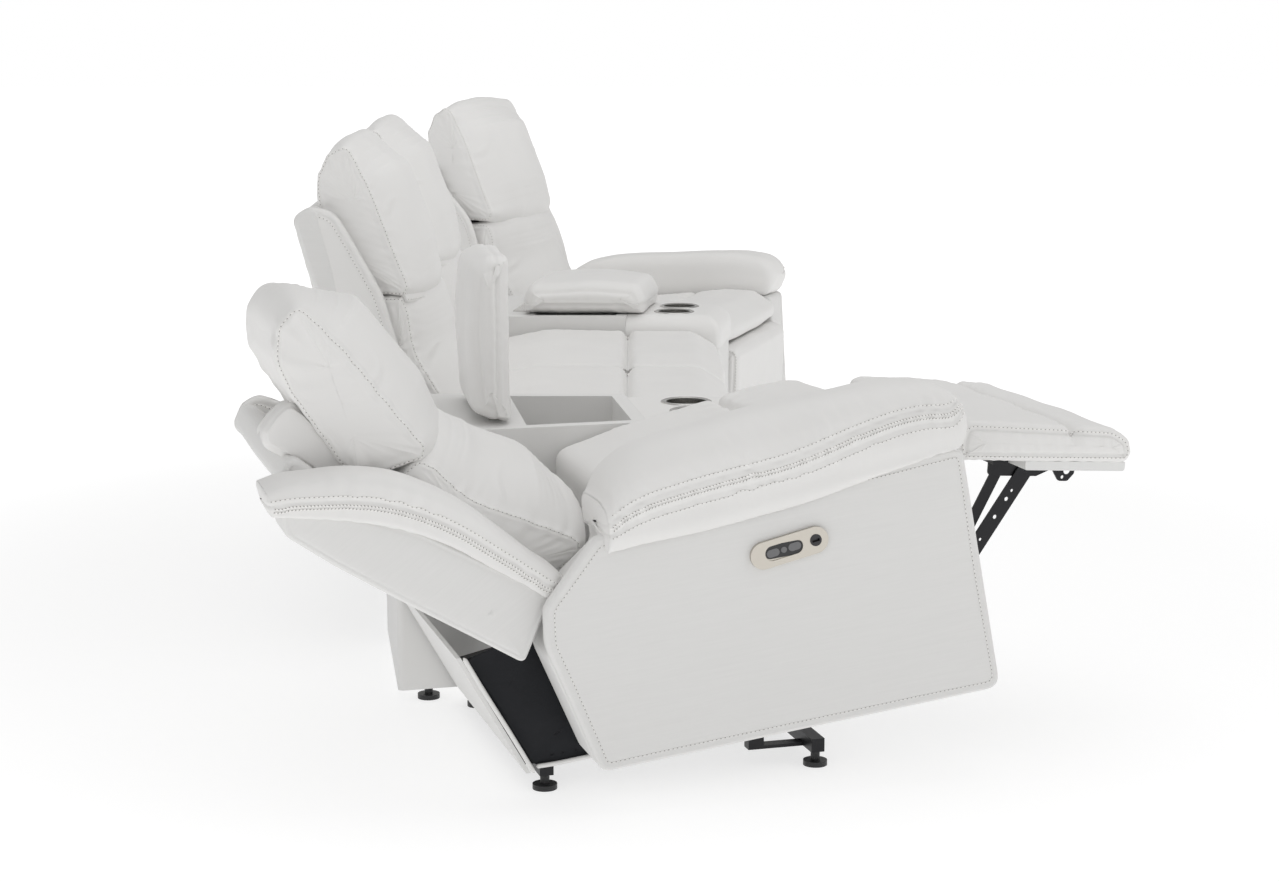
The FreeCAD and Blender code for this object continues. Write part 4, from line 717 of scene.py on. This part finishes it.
def lumbar_pad(name, place, body, low, high, gap, seed, nodes, crown, top):
    loop = outline([
        (board_face(402, gap), 402.5, 10), (board_face(700, gap), top, 12), (686, top + 2, 16),
        (674, 676, 24), (664, 598, 200), (620, 526, 200), (566, 430, 40), (570, 402.5, 16)], 240)
    line = [(680, top), (664, 598), (620, 526), (566, 424)]
    return back_pad(name, place, body, low, high, loop, line, crown, (0.72, 0.62), seed, nodes)


def head_pad(name, place, body, low, high, gap, seed, nodes, crown, skew=0.0):
    loop = outline([
        (board_face(716, gap), 716, 14), (856, 896, 40), (860, 948, 50), (838, 1002, 46), (794, 1024, 24),
        (746, 926, 300), (699, 798, 300), (672, 730, 26), (684, 714, 14)], 260)
    line = [(792, 1012), (746, 926), (699, 798), (676, 718)]
    return back_pad(name, place, body, low, high, loop, line, crown, (0.30, 0.72), seed, nodes, skew)


def band(name, place, body, lower, upper):
    """The raised double seam where the headrest meets the lower back, with a row on either side."""
    count, half, swell_up, sunk = 70, 15, 5, 3
    below, up = lower.across(680, 702)
    above, _ = upper.across(678, 722)
    middle = resample((below + above) / 2, count)
    up = resample(up, count)
    flat = np.c_[np.zeros(count), -up[:, 2], up[:, 1]]
    rings = np.array([
        middle + up * (math.cos(a) * swell_up - sunk) + flat * math.sin(a) * half
        for a in np.linspace(0, 2 * math.pi, 24, endpoint=False)]).transpose(1, 0, 2)
    mean = rings[[0, -1]].mean(1, keepdims=True)
    rings = np.concatenate([mean[:1] + (rings[:1] - mean[:1]) * 0.05, rings,
                            mean[1:] + (rings[-1:] - mean[1:]) * 0.05])
    item = build(name, rings, ring_faces(*rings.shape[:2]), place, body, pad_cover, weld=True)
    paths = [(middle + flat * side + up * 1.6, up) for side in (-9, 9)]
    stitch(name + "_stitches", place, body, paths, 7.5)


for side, seat in SEATS.items():
    near = side == "near"
    lower = lumbar_pad(side + "_lumbar_pad", seat["back"], side + "_back", 36, 573, 6, 31 if near else 32,
                       [side + "_lumbar_cushion"], 92 if near else 66, 704)
    upper = head_pad(side + "_head_pad", seat["head"], side + "_headrest", 36, 573, 7, 41 if near else 42,
                     [side + "_headrest_pad"], 84 if near else 58, 34.0 if near else 0.0)
for name, low, high in spans(33, 579):
    lower = lumbar_pad(name + "_lumbar_pad", MIDDLE, "frame", low, high, 1, abs(low) + 33,
                       [name + "_back_cushions"], 66, 710)
    upper = head_pad(name + "_head_pad", MIDDLE, "frame", low, high, 1, abs(low) + 44, [], 58)
    band(name + "_band", MIDDLE, "frame", lower, upper)


# ---- Arms: a board with rounded edges and a diagonal rear seam, and the pillow along its top.

def local_points(name, place):
    """The corners of a CAD piece in a module's own frame."""
    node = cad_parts[name]
    into = place.inverted() @ node.matrix_world
    return np.array([into @ corner.co for corner in node.data.vertices])


def control_recess(side, place):
    """The dark recess of the control plate, under the buttons."""
    flat = np.vstack([local_points("%s_%s_button" % (side, name), place) for name in (
        "rear", "home", "front")])
    outer = flat[:, 0].max() - 0.9
    way = flat[flat[:, 1].argmax()] - flat[flat[:, 1].argmin()]
    angle = math.atan2(way[2], way[1]) if abs(way[2]) > 8 else 0.0
    middle = (flat[:, 1:].max(0) + flat[:, 1:].min(0)) / 2
    turned = (flat[:, 1:] - middle) @ np.array((
        (math.cos(angle), -math.sin(angle)), (math.sin(angle), math.cos(angle))))
    reach, half = np.abs(turned).max(0) + (4.0, 2.6)
    loop = outline([
        (-reach, -half, half), (reach, -half, half), (reach, half, half), (-reach, half, half)], 90, 1)
    loop = loop @ np.array((
        (math.cos(angle), math.sin(angle)), (-math.sin(angle), math.cos(angle)))) + middle
    form = Pillow(loop, outer - 1.2, outer + 0.3, 0.3, 0.0, 0.0, (middle - (12, 0), middle + (12, 0)), 3)
    form.make(side + "_control_recess", place, side + "_seat", port_black)


def arm_panel(side, seat):
    place = seat["seat"]
    loop = outline([
        (-2, 45, 22), (703, 47, 16), (767, 276, 44), (761, 338, 26), (664, 436, 10), (638, 438, 4),
        (36, 470, 6), (22, 466, 10)], 300, 1)
    skin = Pillow(loop, 700, 728, 9.0, 0.0, (0.5, 2.0), ((150, 250), (560, 250)), 6)
    skin.seam(0.8, 1.6)
    skin.make(side + "_arm_skin", place, side + "_seat", panel_cover)
    stitch(side + "_arm_skin_stitches", place, side + "_seat", [skin.path(1, -7.0)], 7.5, length=5.0,
           width=1.4)
    inner = outline([
        (-2, 45, 22), (703, 47, 16), (762, 250, 30), (728, 338, 10), (640, 402, 4), (640, 437, 4),
        (36, 470, 6), (22, 466, 10)], 300, 1)
    core = Pillow(inner, 582, 701, 9.0, 0.0, 1.0, ((150, 250), (560, 250)), 6)
    item = core.make(side + "_arm_core", place, side + "_seat", panel_cover)
    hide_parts(side + "_arm_panel")
    control_recess(side, place)


class Roll:
    """A stuffed roll that runs along two lines in the side plane, from a nose to a flat end.

    The section is a closed loop of (across, share) points; a share of 0 lies on the seat line, 1 on
    the crown line and -1 on the lip line, which is the lower edge of the outer side."""

    def __init__(self, crown, base, lip, section, count=170, nose=70.0, centre=665.0, end=14.0):
        self.lines = [curve(line, count) for line in (crown, base, lip)]
        gone = np.r_[0, np.cumsum(np.linalg.norm(np.diff(self.lines[0], axis=0), axis=1))]
        rings = []
        for k in range(count):
            top, floor, low = (line[k] for line in self.lines)
            width = math.sqrt(1 - max(0.0, 1 - gone[k] / nose) ** 2) * 0.72 + 0.28
            width = max(width, 0.05) if k else 0.2
            ring = []
            for u, share in section:
                point = floor + (top - floor) * share if share >= 0 else floor + (low - floor) * -share
                ring.append((centre + (u - centre) * width, *point))
            rings.append(loop_curve(ring, 132))
        self.rings = np.array(rings)
        first = self.rings[0].mean(0)
        start = [first + (self.rings[0] - first) * k for k in (0.02, 0.35, 0.7)]
        last = self.rings[-1].mean(0)
        way = self.rings[-1].mean(0) - self.rings[-3].mean(0)
        way /= np.linalg.norm(way)
        stop = [last + (self.rings[-1] - last) * k + way * end * h for k, h in (
            (0.985, 0.30), (0.955, 0.52), (0.94, 0.50), (0.90, 0.62), (0.7, 0.86), (0.4, 0.97), (0.04, 1.0))]
        self.head = len(start)
        self.rings = np.array(start + list(self.rings) + stop)
        self.normals = surface_normals(self.rings)
        self.tail = len(stop)
        self.along = np.r_[np.zeros(self.head), gone, np.full(self.tail, gone[-1])][:, None]

    def girth(self, share):
        """Distance round each ring from the column a share of the way round from its first point."""
        column = int(round(share * self.rings.shape[1])) % self.rings.shape[1]
        step = np.linalg.norm(np.roll(self.rings, -1, 1) - self.rings, axis=2)
        run = np.concatenate([np.zeros((len(step), 1)), np.cumsum(step, 1)[:, :-1]], 1)
        return run - run[:, [column]]

    def groove(self, share, depth=2.6, width=3.0):
        away = np.abs(self.girth(share))
        self.rings = self.rings - self.normals * (depth * np.exp(-(away / width) ** 2))[..., None]

    def push(self, amount):
        self.rings = self.rings + self.normals * amount[..., None]

    def path(self, share, offset=0.0, skip=4):
        normals = surface_normals(self.rings)
        girth = self.girth(share)
        points, ups = [], []
        for k in range(self.head + skip, len(self.rings) - self.tail):
            j = int(np.argmin(np.abs(girth[k] - offset)))
            points.append(self.rings[k, j])
            ups.append(normals[k, j])
        points, ups = np.array(points), np.array(ups)
        for _ in range(3):
            points[1:-1] = (points[:-2] + points[1:-1] * 2 + points[2:]) / 4
        return points, ups

    def make(self, name, place, body, material):
        return build(
            name, self.rings, ring_faces(*self.rings.shape[:2]), place, body, material, weld=True)


def loop_curve(points, count):
    """A smooth closed curve through the points, evenly spaced."""
    points = np.asarray(points, float)
    size = len(points)
    rows = []
    for k in range(size):
        a, b, c, d = (points[(k + j) % size] for j in (-1, 0, 1, 2))
        for t in np.linspace(0, 1, 14)[:-1]:
            rows.append(0.5 * (
                2 * b + (c - a) * t + (2 * a - 5 * b + 4 * c - d) * t ** 2
                + (3 * b - a - 3 * c + d) * t ** 3))
    return resample(rows, count, True)


def share_of(section, index):
    """How far round the smoothed section its given corner lies."""
    flat = [(u, share * 110 if share >= 0 else share * 60) for u, share in section]
    size = len(flat)
    lengths = [math.dist(flat[k], flat[(k + 1) % size]) for k in range(size)]
    return sum(lengths[:index]) / sum(lengths)


ARM_SECTION = [
    (690, 0.0), (620, 0.0), (584, 0.02), (577, 0.22), (578, 0.50), (584, 0.80), (604, 0.985),
    (640, 1.02), (676, 1.02), (708, 0.95), (730, 0.80), (741, 0.60), (745, 0.34), (744, 0.10),
    (745, -0.30), (742, -0.72), (736, -1.0), (730, -0.80), (729.5, -0.2), (728, 0.0)]


def arm_pad(side, seat, seed):
    place, body = seat["seat"], side + "_seat"
    crown = [(9, 528), (22, 556), (46, 573), (90, 583), (200, 585), (337, 578), (450, 569),
             (530, 558), (592, 540), (622, 518), (636, 490)]
    base = [(9, 527), (17, 500), (32, 474), (80, 468.6), (200, 462.2), (337, 455), (450, 449),
            (530, 444.6), (592, 441.4), (622, 440), (638, 439)]
    lip = [(9, 526), (17, 504), (33, 486), (80, 474), (200, 448), (322, 426), (450, 418),
           (530, 414), (592, 412), (622, 411), (642, 411)]
    roll = Roll(crown, base, lip, ARM_SECTION)
    x, y = roll.along, roll.girth(0.5)
    upper, lower = share_of(ARM_SECTION, 13), share_of(ARM_SECTION, 14)
    away = np.minimum(np.abs(roll.girth(upper)), np.abs(roll.girth(lower)))
    calm = np.clip(away / 26, 0, 1)
    roll.push(ripple(roll.rings, seed, 210, 2.2) * calm)
    roll.push(gathers(x, np.abs(roll.girth(upper)) + 0 * x, seed + 1, 30, 1.5, 34) * (y > 0))
    roll.groove(upper, 2.6, 2.6)
    roll.groove(lower, 2.2, 2.4)
    item = roll.make(side + "_arm_roll", place, body, pad_cover)
    pad_piece(item, side + "_arm_pad")
    stitch(side + "_arm_stitches", place, body, [roll.path(upper, -9), roll.path(lower, 7)], 7.5)
    rows = Rows(side + "_arm_lace", place, body, 6.0, 2.4)
    rows.lace(roll.path(upper, 12), 5.6, 3.0)
    rows.lay()


for side, seat in SEATS.items():
    arm_panel(side, seat)
    arm_pad(side, seat, 51 if side == "near" else 52)


# ---- Outer backs: a rear board and a thin cheek in the cover of the flat panels, a padded wing
# behind each arm, and the roll that wraps the wing's front edge.
def rear_line(height):
    return 766 + (905 - 766) / (878 - 362) * (height - 362)


def outer_back(name, place, body, low, high, rise, cheeks, nodes, floor=None):
    rear = [(766, 362, 10), (rear_line(878 + rise), 878 + rise, 24),
            (rear_line(878 + rise) - 40, 900 + rise, 24),
            (rear_line(878 + rise) - 56, 888 + rise, 12), (716, 362, 10)]
    if floor is not None:
        rear = [(690, 402, 30), (766, 420, 200)] + rear[1:4] + [(708, 332, 10), (716, 60, 8), (690, 60, 8)]
    board = Pillow(outline(rear, 220), low, high, 11.0, 0.0, 0.0, ((740, 440), (865, 860)), 30)
    board.push(ripple(board.rings, 5, 320, 1.2))
    item = board.make(name + "_rear_board", place, body, panel_cover)
    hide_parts(*nodes)
    lean = 0.8 * rise
    side = [(766, 362, 12), (rear_line(878 + rise), 878 + rise, 24),
            (rear_line(878 + rise) - 40, 900 + rise, 30), (818, 886 + lean, 50),
            (784, 828 + lean, 90), (726, 722, 160), (648, 446, 16), (662, 424, 12)]
    for index, (start, end) in enumerate(cheeks):
        form = Pillow(outline(side, 260), start, end, 12.0, 1.0, 3.0, ((720, 470), (850, 850)), 12)
        form.seam(2.0, 2.4).pucker(index + 7, 30, 0.6, 24)
        form.make("%s_cheek_%d" % (name, index), place, body, pad_cover)
        stitch("%s_cheek_stitches_%d" % (name, index), place, body,
               [form.path(edge, -6.0) for edge in (0, 1)])


WING_SECTION = [
    (640, 0.0), (600, 0.0), (579, 0.02), (574, 0.30), (574, 0.62), (580, 0.90), (606, 1.0),
    (640, 1.02), (672, 1.0), (694, 0.90), (702, 0.66), (704, 0.44), (703, 0.22), (700, 0.0),
    (680, 0.0)]


def wing(side, seat, seed):
    place, body = seat["back"], side + "_back"
    loop = outline([
        (770, 362, 12), (844, 546, 300), (900, 690, 300), (930, 780, 20), (906, 826, 14),
        (842, 770, 200), (760, 642, 200), (662, 424, 14)], 260, 1)
    panel = Pillow(loop, 584, 695, 9.0, 0.0, (0.0, 2.5), ((760, 470), (870, 740)), 8)
    panel.seam(1.0, 1.8)
    panel.push(ripple(panel.rings, seed, 300, 0.9))
    panel.make(side + "_wing_panel", place, body, panel_cover)
    crown = [(634, 416), (632, 436), (645, 486), (660, 548), (682, 625), (708, 686), (737, 736),
             (780, 782), (840, 824), (880, 848), (904, 856)]
    base = [(650, 410), (668, 420), (686, 462), (714, 530), (742, 602), (768, 650), (800, 694),
            (840, 738), (880, 776), (908, 802), (922, 815)]
    roll = Roll(crown, base, base, WING_SECTION, 150, 50.0, 638.0, 10.0)
    edge = share_of(WING_SECTION, 11)
    calm = np.clip(np.abs(roll.girth(edge)) / 26, 0, 1)
    roll.push(ripple(roll.rings, seed, 200, 2.0) * calm)
    roll.push(gathers(roll.along, np.abs(roll.girth(edge)), seed + 1, 30, 1.3, 30))
    roll.groove(edge, 2.4, 2.6)
    roll.groove(share_of(WING_SECTION, 13), 2.0, 2.4)
    item = roll.make(side + "_wing_roll", place, body, pad_cover)
    stitch(side + "_wing_stitches", place, body, [roll.path(edge, -8)], 7.5)
    rows = Rows(side + "_wing_lace", place, body, 6.0, 2.4)
    rows.lace(roll.path(edge, 9), 5.6, 2.8)
    rows.lay()


for side, seat in SEATS.items():
    outer_back(side, seat["back"], side + "_back", 4, 586, -50, [(4, 32)], [side + "_back_shell"])
    wing(side, seat, 61 if side == "near" else 62)
for name, low, high in spans(1, 612):
    outer_back(name, MIDDLE, "frame", low, high, 0, [(low, low + 28), (high - 28, high)],
               [name + "_back_shell"], 60)


# ---- Footrests: a double pad with a crosswise crease over the lined board.
def footrest_pad(side, seat):
    place, body = seat["rest"], side + "_footrest"
    loop = outline([
        (-6, 0.6, 12), (2, 30, 30), (-6, 62, 16), (-24, 71, 20), (-196, 66, 60), (-292, 62, 40),
        (-326, 44, 30), (-334, 16, 20), (-322, 0.6, 8)], 240)
    form = Pillow(loop, 8, 573, 14.0, 2.0, 3.0, ((-50, 34), (-290, 30)), 60)
    top = np.clip((form.rings[..., 2] - 30) / 26, 0, 1)
    form.push(-20 * np.exp(-(np.abs(form.rings[..., 1] + 217) / 7.5) ** 1.3) * top)
    form.settle()
    form.seam(2.4, 2.8).pucker(3, 22, 0.9, 24).uneven(4, 170, 1.5)
    form.push(gathers(form.rings[..., 0], np.abs(form.rings[..., 1] + 217), 8, 26, 1.3, 30) * top)
    item = form.make(side + "_footrest_cover", place, body, pad_cover)
    pad_piece(item, side + "_footrest_pad")
    stitch(side + "_footrest_stitches", place, body, [form.path(edge, 6.0) for edge in (0, 1)])


for side, seat in SEATS.items():
    footrest_pad(side, seat)


# ---- Console lids: fat wedge-shaped pads; each seam runs round the side at half its height.
def console_lid(side, opened):
    base = CONSOLES[side]
    place = base @ turn(500, 526, 90 * opened)
    loop = outline([
        (500, 521.5, 8), (500, 560, 24), (484, 598, 34), (330, 608, 400), (206, 598, 36),
        (188, 560, 30), (194, 521.5, 10)], 220)
    form = Pillow(loop, -100, 100, 26.0, 0.0, 5.0, ((250, 560), (440, 560)), 50)
    half = 140 - 4 + form.rings[..., 1] * math.tan(BEND / 2)
    form.rings[..., 0] *= half / 105.0
    form.settle()
    side_seam = np.exp(-(np.abs(form.rings[..., 2] - 546) / 2.6) ** 2)
    form.push(-2.4 * side_seam)
    form.uneven(21, 170, 1.6)
    form.push(gathers(form.along[None, :] + form.rings[..., 0], np.abs(form.rings[..., 2] - 546), 5, 24,
                      0.9, 20))
    item = form.make(side + "_lid_cover", place, side + "_lid_body", pad_cover)
    pad_piece(item, side + "_console_lid")


console_lid("near", 1)
console_lid("far", 0)


# ---- Small things: the gathered gusset behind the open headrest, the black cloth in the side of
# the base and below the middle seats' backs, and the pale piping along the skirt's edge.
def gusset():
    seat = SEATS["near"]
    loop = outline([
        (816, 738, 10), (842, 830, 30), (862, 884, 24), (850, 902, 16), (822, 910, 30),
        (792, 912, 16), (782, 880, 30), (776, 800, 40), (766, 728, 14)], 220)
    form = Pillow(loop, 52, 548, 8.0, 0.0, 2.0, ((800, 790), (816, 870)), 90)
    share = np.clip((566 - form.rings[..., 0]) / 522, 0, 1)
    form.rings[..., 2] -= 105 * share * np.clip((form.rings[..., 2] - 728) / 190, 0, 1)
    form.settle()
    rng = np.random.default_rng(8)
    x, z = form.rings[..., 0], form.rings[..., 2]
    waves = sum(
        np.sin(x * 2 * math.pi / length + rng.uniform(0, 6) + (z - 800) * rng.uniform(-0.02, 0.02))
        for length in (23, 31, 42, 57))
    form.push(waves * 2.2 * ~form.capped)
    item = form.make("near_gusset", seat["back"], "near_back", pad_cover)
    anchor = tuple(seat["back"] @ Vector((300, 846, 830)))
    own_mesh(item)


gusset()


def tube(name, points, radius, place, body, material, sides=10):
    """A round cord laid along a smooth line."""
    line = curve(points, max(24, len(points) * 12))
    rings = []
    for k, point in enumerate(line):
        way = line[min(k + 1, len(line) - 1)] - line[max(k - 1, 0)]
        way = way / np.linalg.norm(way)
        first = np.cross(way, (0.3, 0.2, 0.93))
        first /= np.linalg.norm(first)
        second = np.cross(way, first)
        size = radius if 0 < k < len(line) - 1 else radius * 0.3
        rings.append([
            point + (first * math.cos(a) + second * math.sin(a)) * size
            for a in np.linspace(0, 2 * math.pi, sides, endpoint=False)])
    rings = np.array(rings)
    faces = ring_faces(len(rings), sides)
    faces.append(tuple(range(sides))[::-1])
    faces.append(tuple((len(rings) - 1) * sides + k for k in range(sides)))
    return build(name, rings, faces, place, body, material)


def base_cloth(side, seat):
    place = seat["base"]
    loop = outline([
        (470, 58, 12), (600, 44, 10), (716, 236, 14), (640, 262, 40), (520, 236, 60),
        (452, 150, 40)], 160)
    form = Pillow(loop, 556, 562, 2.0, 0.0, 0.5, ((540, 120), (640, 190)), 5)
    form.push(ripple(form.rings, 9, 90, 3.0) * form.capped)
    form.make(side + "_side_cloth", place, "frame", dust_cloth)
    tube(side + "_skirt_piping", [(574, 604, 36), (574, 640, 100), (574, 690, 186), (574, 722, 243)],
         4.0, place, "frame", pad_cover)
    tube(side + "_cloth_piping", [(566, 470, 58), (566, 520, 52), (566, 570, 46), (566, 598, 44)],
         4.0, place, "frame", pad_cover)


for side, seat in SEATS.items():
    base_cloth(side, seat)
for name, low, high in spans(2, 613):
    loop = outline([(706, 62, 4), (722, 62, 4), (722, 300, 4), (706, 300, 4)], 90)
    form = Pillow(loop, low, high, 3.0, 0.0, 0.5, ((714, 100), (714, 260)), 40)
    form.push(ripple(form.rings, 4, 120, 2.0) * ~form.capped)
    form.make(name + "_rear_cloth", MIDDLE, "frame", dust_cloth)


# ---- The photo's camera, fitted to the sofa: its place in the row, its turn and its focal length.
PHOTO_WIDTH, FOCAL, SENSOR = 1279, 2515.93, 36.0
EYE, YAW, PITCH = (-5.6649, 0.2223, 1.3233), math.radians(0.187), math.radians(10.12)


def finish_camera():
    data = bpy.data.cameras.new("photo camera")
    camera = bpy.data.objects.new("photo camera", data)
    bpy.context.scene.collection.objects.link(camera)
    way = Vector((math.cos(YAW) * math.cos(PITCH), -math.sin(YAW) * math.cos(PITCH), -math.sin(PITCH)))
    camera.location = (EYE[0] + SHIFT[0] / 1000, EYE[1] + SHIFT[1] / 1000, EYE[2])
    camera.rotation_euler = way.to_track_quat("-Z", "Y").to_euler()
    data.sensor_width = SENSOR
    data.lens = FOCAL / PHOTO_WIDTH * SENSOR
    bpy.context.scene.camera = camera


finish_camera()


# ---- Light and ground: three soft lamps, a white floor and a white background.
def lamp(name, energy, place, target, size):
    data = bpy.data.lights.new(name, "AREA")
    data.energy = energy
    data.shape = "RECTANGLE"
    data.size, data.size_y = size
    item = bpy.data.objects.new(name, data)
    item.location = place
    item.rotation_euler = (Vector(target) - Vector(place)).to_track_quat("-Z", "Y").to_euler()
    bpy.context.scene.collection.objects.link(item)


lamp("top softbox", 68, (0.0, -0.4, 4.2), (0, 0, 0), (5.5, 4.5))
lamp("camera fill", 21, (-5.5, 1.4, 2.6), (-0.6, 0, 0.5), (3.5, 3.0))
lamp("front fill", 26, (-1.5, -4.5, 2.4), (0, 0, 0.5), (4.0, 2.5))

def floor_finish():
    """A diffuse white near the sofa that fades into an even glow farther out."""
    material = plain("floor white", (0.93, 0.93, 0.93), 0.9)
    tree = material.node_tree
    link = tree.links.new
    glow = add(tree, "ShaderNodeEmission", Strength=1.18)
    blend = tree.nodes.new("ShaderNodeMixShader")
    spot = tree.nodes.new("ShaderNodeTexCoord")
    away = tree.nodes.new("ShaderNodeVectorMath")
    away.operation = "LENGTH"
    link(spot.outputs["Object"], away.inputs[0])
    fade = add(tree, "ShaderNodeMapRange", From_Min=1.2, From_Max=3.4, To_Min=0.56, To_Max=1.0)
    fade.interpolation_type = "SMOOTHSTEP"
    link(away.outputs["Value"], fade.inputs["Value"])
    link(fade.outputs[0], blend.inputs[0])
    link(tree.nodes["Principled BSDF"].outputs[0], blend.inputs[1])
    link(glow.outputs[0], blend.inputs[2])
    link(blend.outputs[0], tree.nodes["Material Output"].inputs[0])
    return material


FLOOR = 30
floor_mesh = bpy.data.meshes.new("floor")
floor_mesh.from_pydata(
    [(-FLOOR, -FLOOR, 0), (FLOOR, -FLOOR, 0), (FLOOR, FLOOR, 0), (-FLOOR, FLOOR, 0)], [], [(0, 1, 2, 3)])
floor_mesh.materials.append(floor_finish())
floor = bpy.data.objects.new("floor", floor_mesh)
bpy.context.scene.collection.objects.link(floor)
floor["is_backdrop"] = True

world = bpy.data.worlds.new("studio")
bpy.context.scene.world = world
world.use_nodes = True
nodes, links = world.node_tree.nodes, world.node_tree.links
soft = nodes["Background"]
soft.inputs["Color"].default_value = (1, 1, 1, 1)
soft.inputs["Strength"].default_value = 0.46
white = add(world.node_tree, "ShaderNodeBackground", Color=(1, 1, 1, 1), Strength=1.0)
seen = nodes.new("ShaderNodeLightPath")
choice = nodes.new("ShaderNodeMixShader")
links.new(seen.outputs["Is Camera Ray"], choice.inputs[0])
links.new(soft.outputs[0], choice.inputs[1])
links.new(white.outputs[0], choice.inputs[2])
links.new(choice.outputs[0], nodes["World Output"].inputs[0])
bpy.context.scene.view_settings.view_transform = "Standard"

def corners():
    return [list(point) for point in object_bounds()]
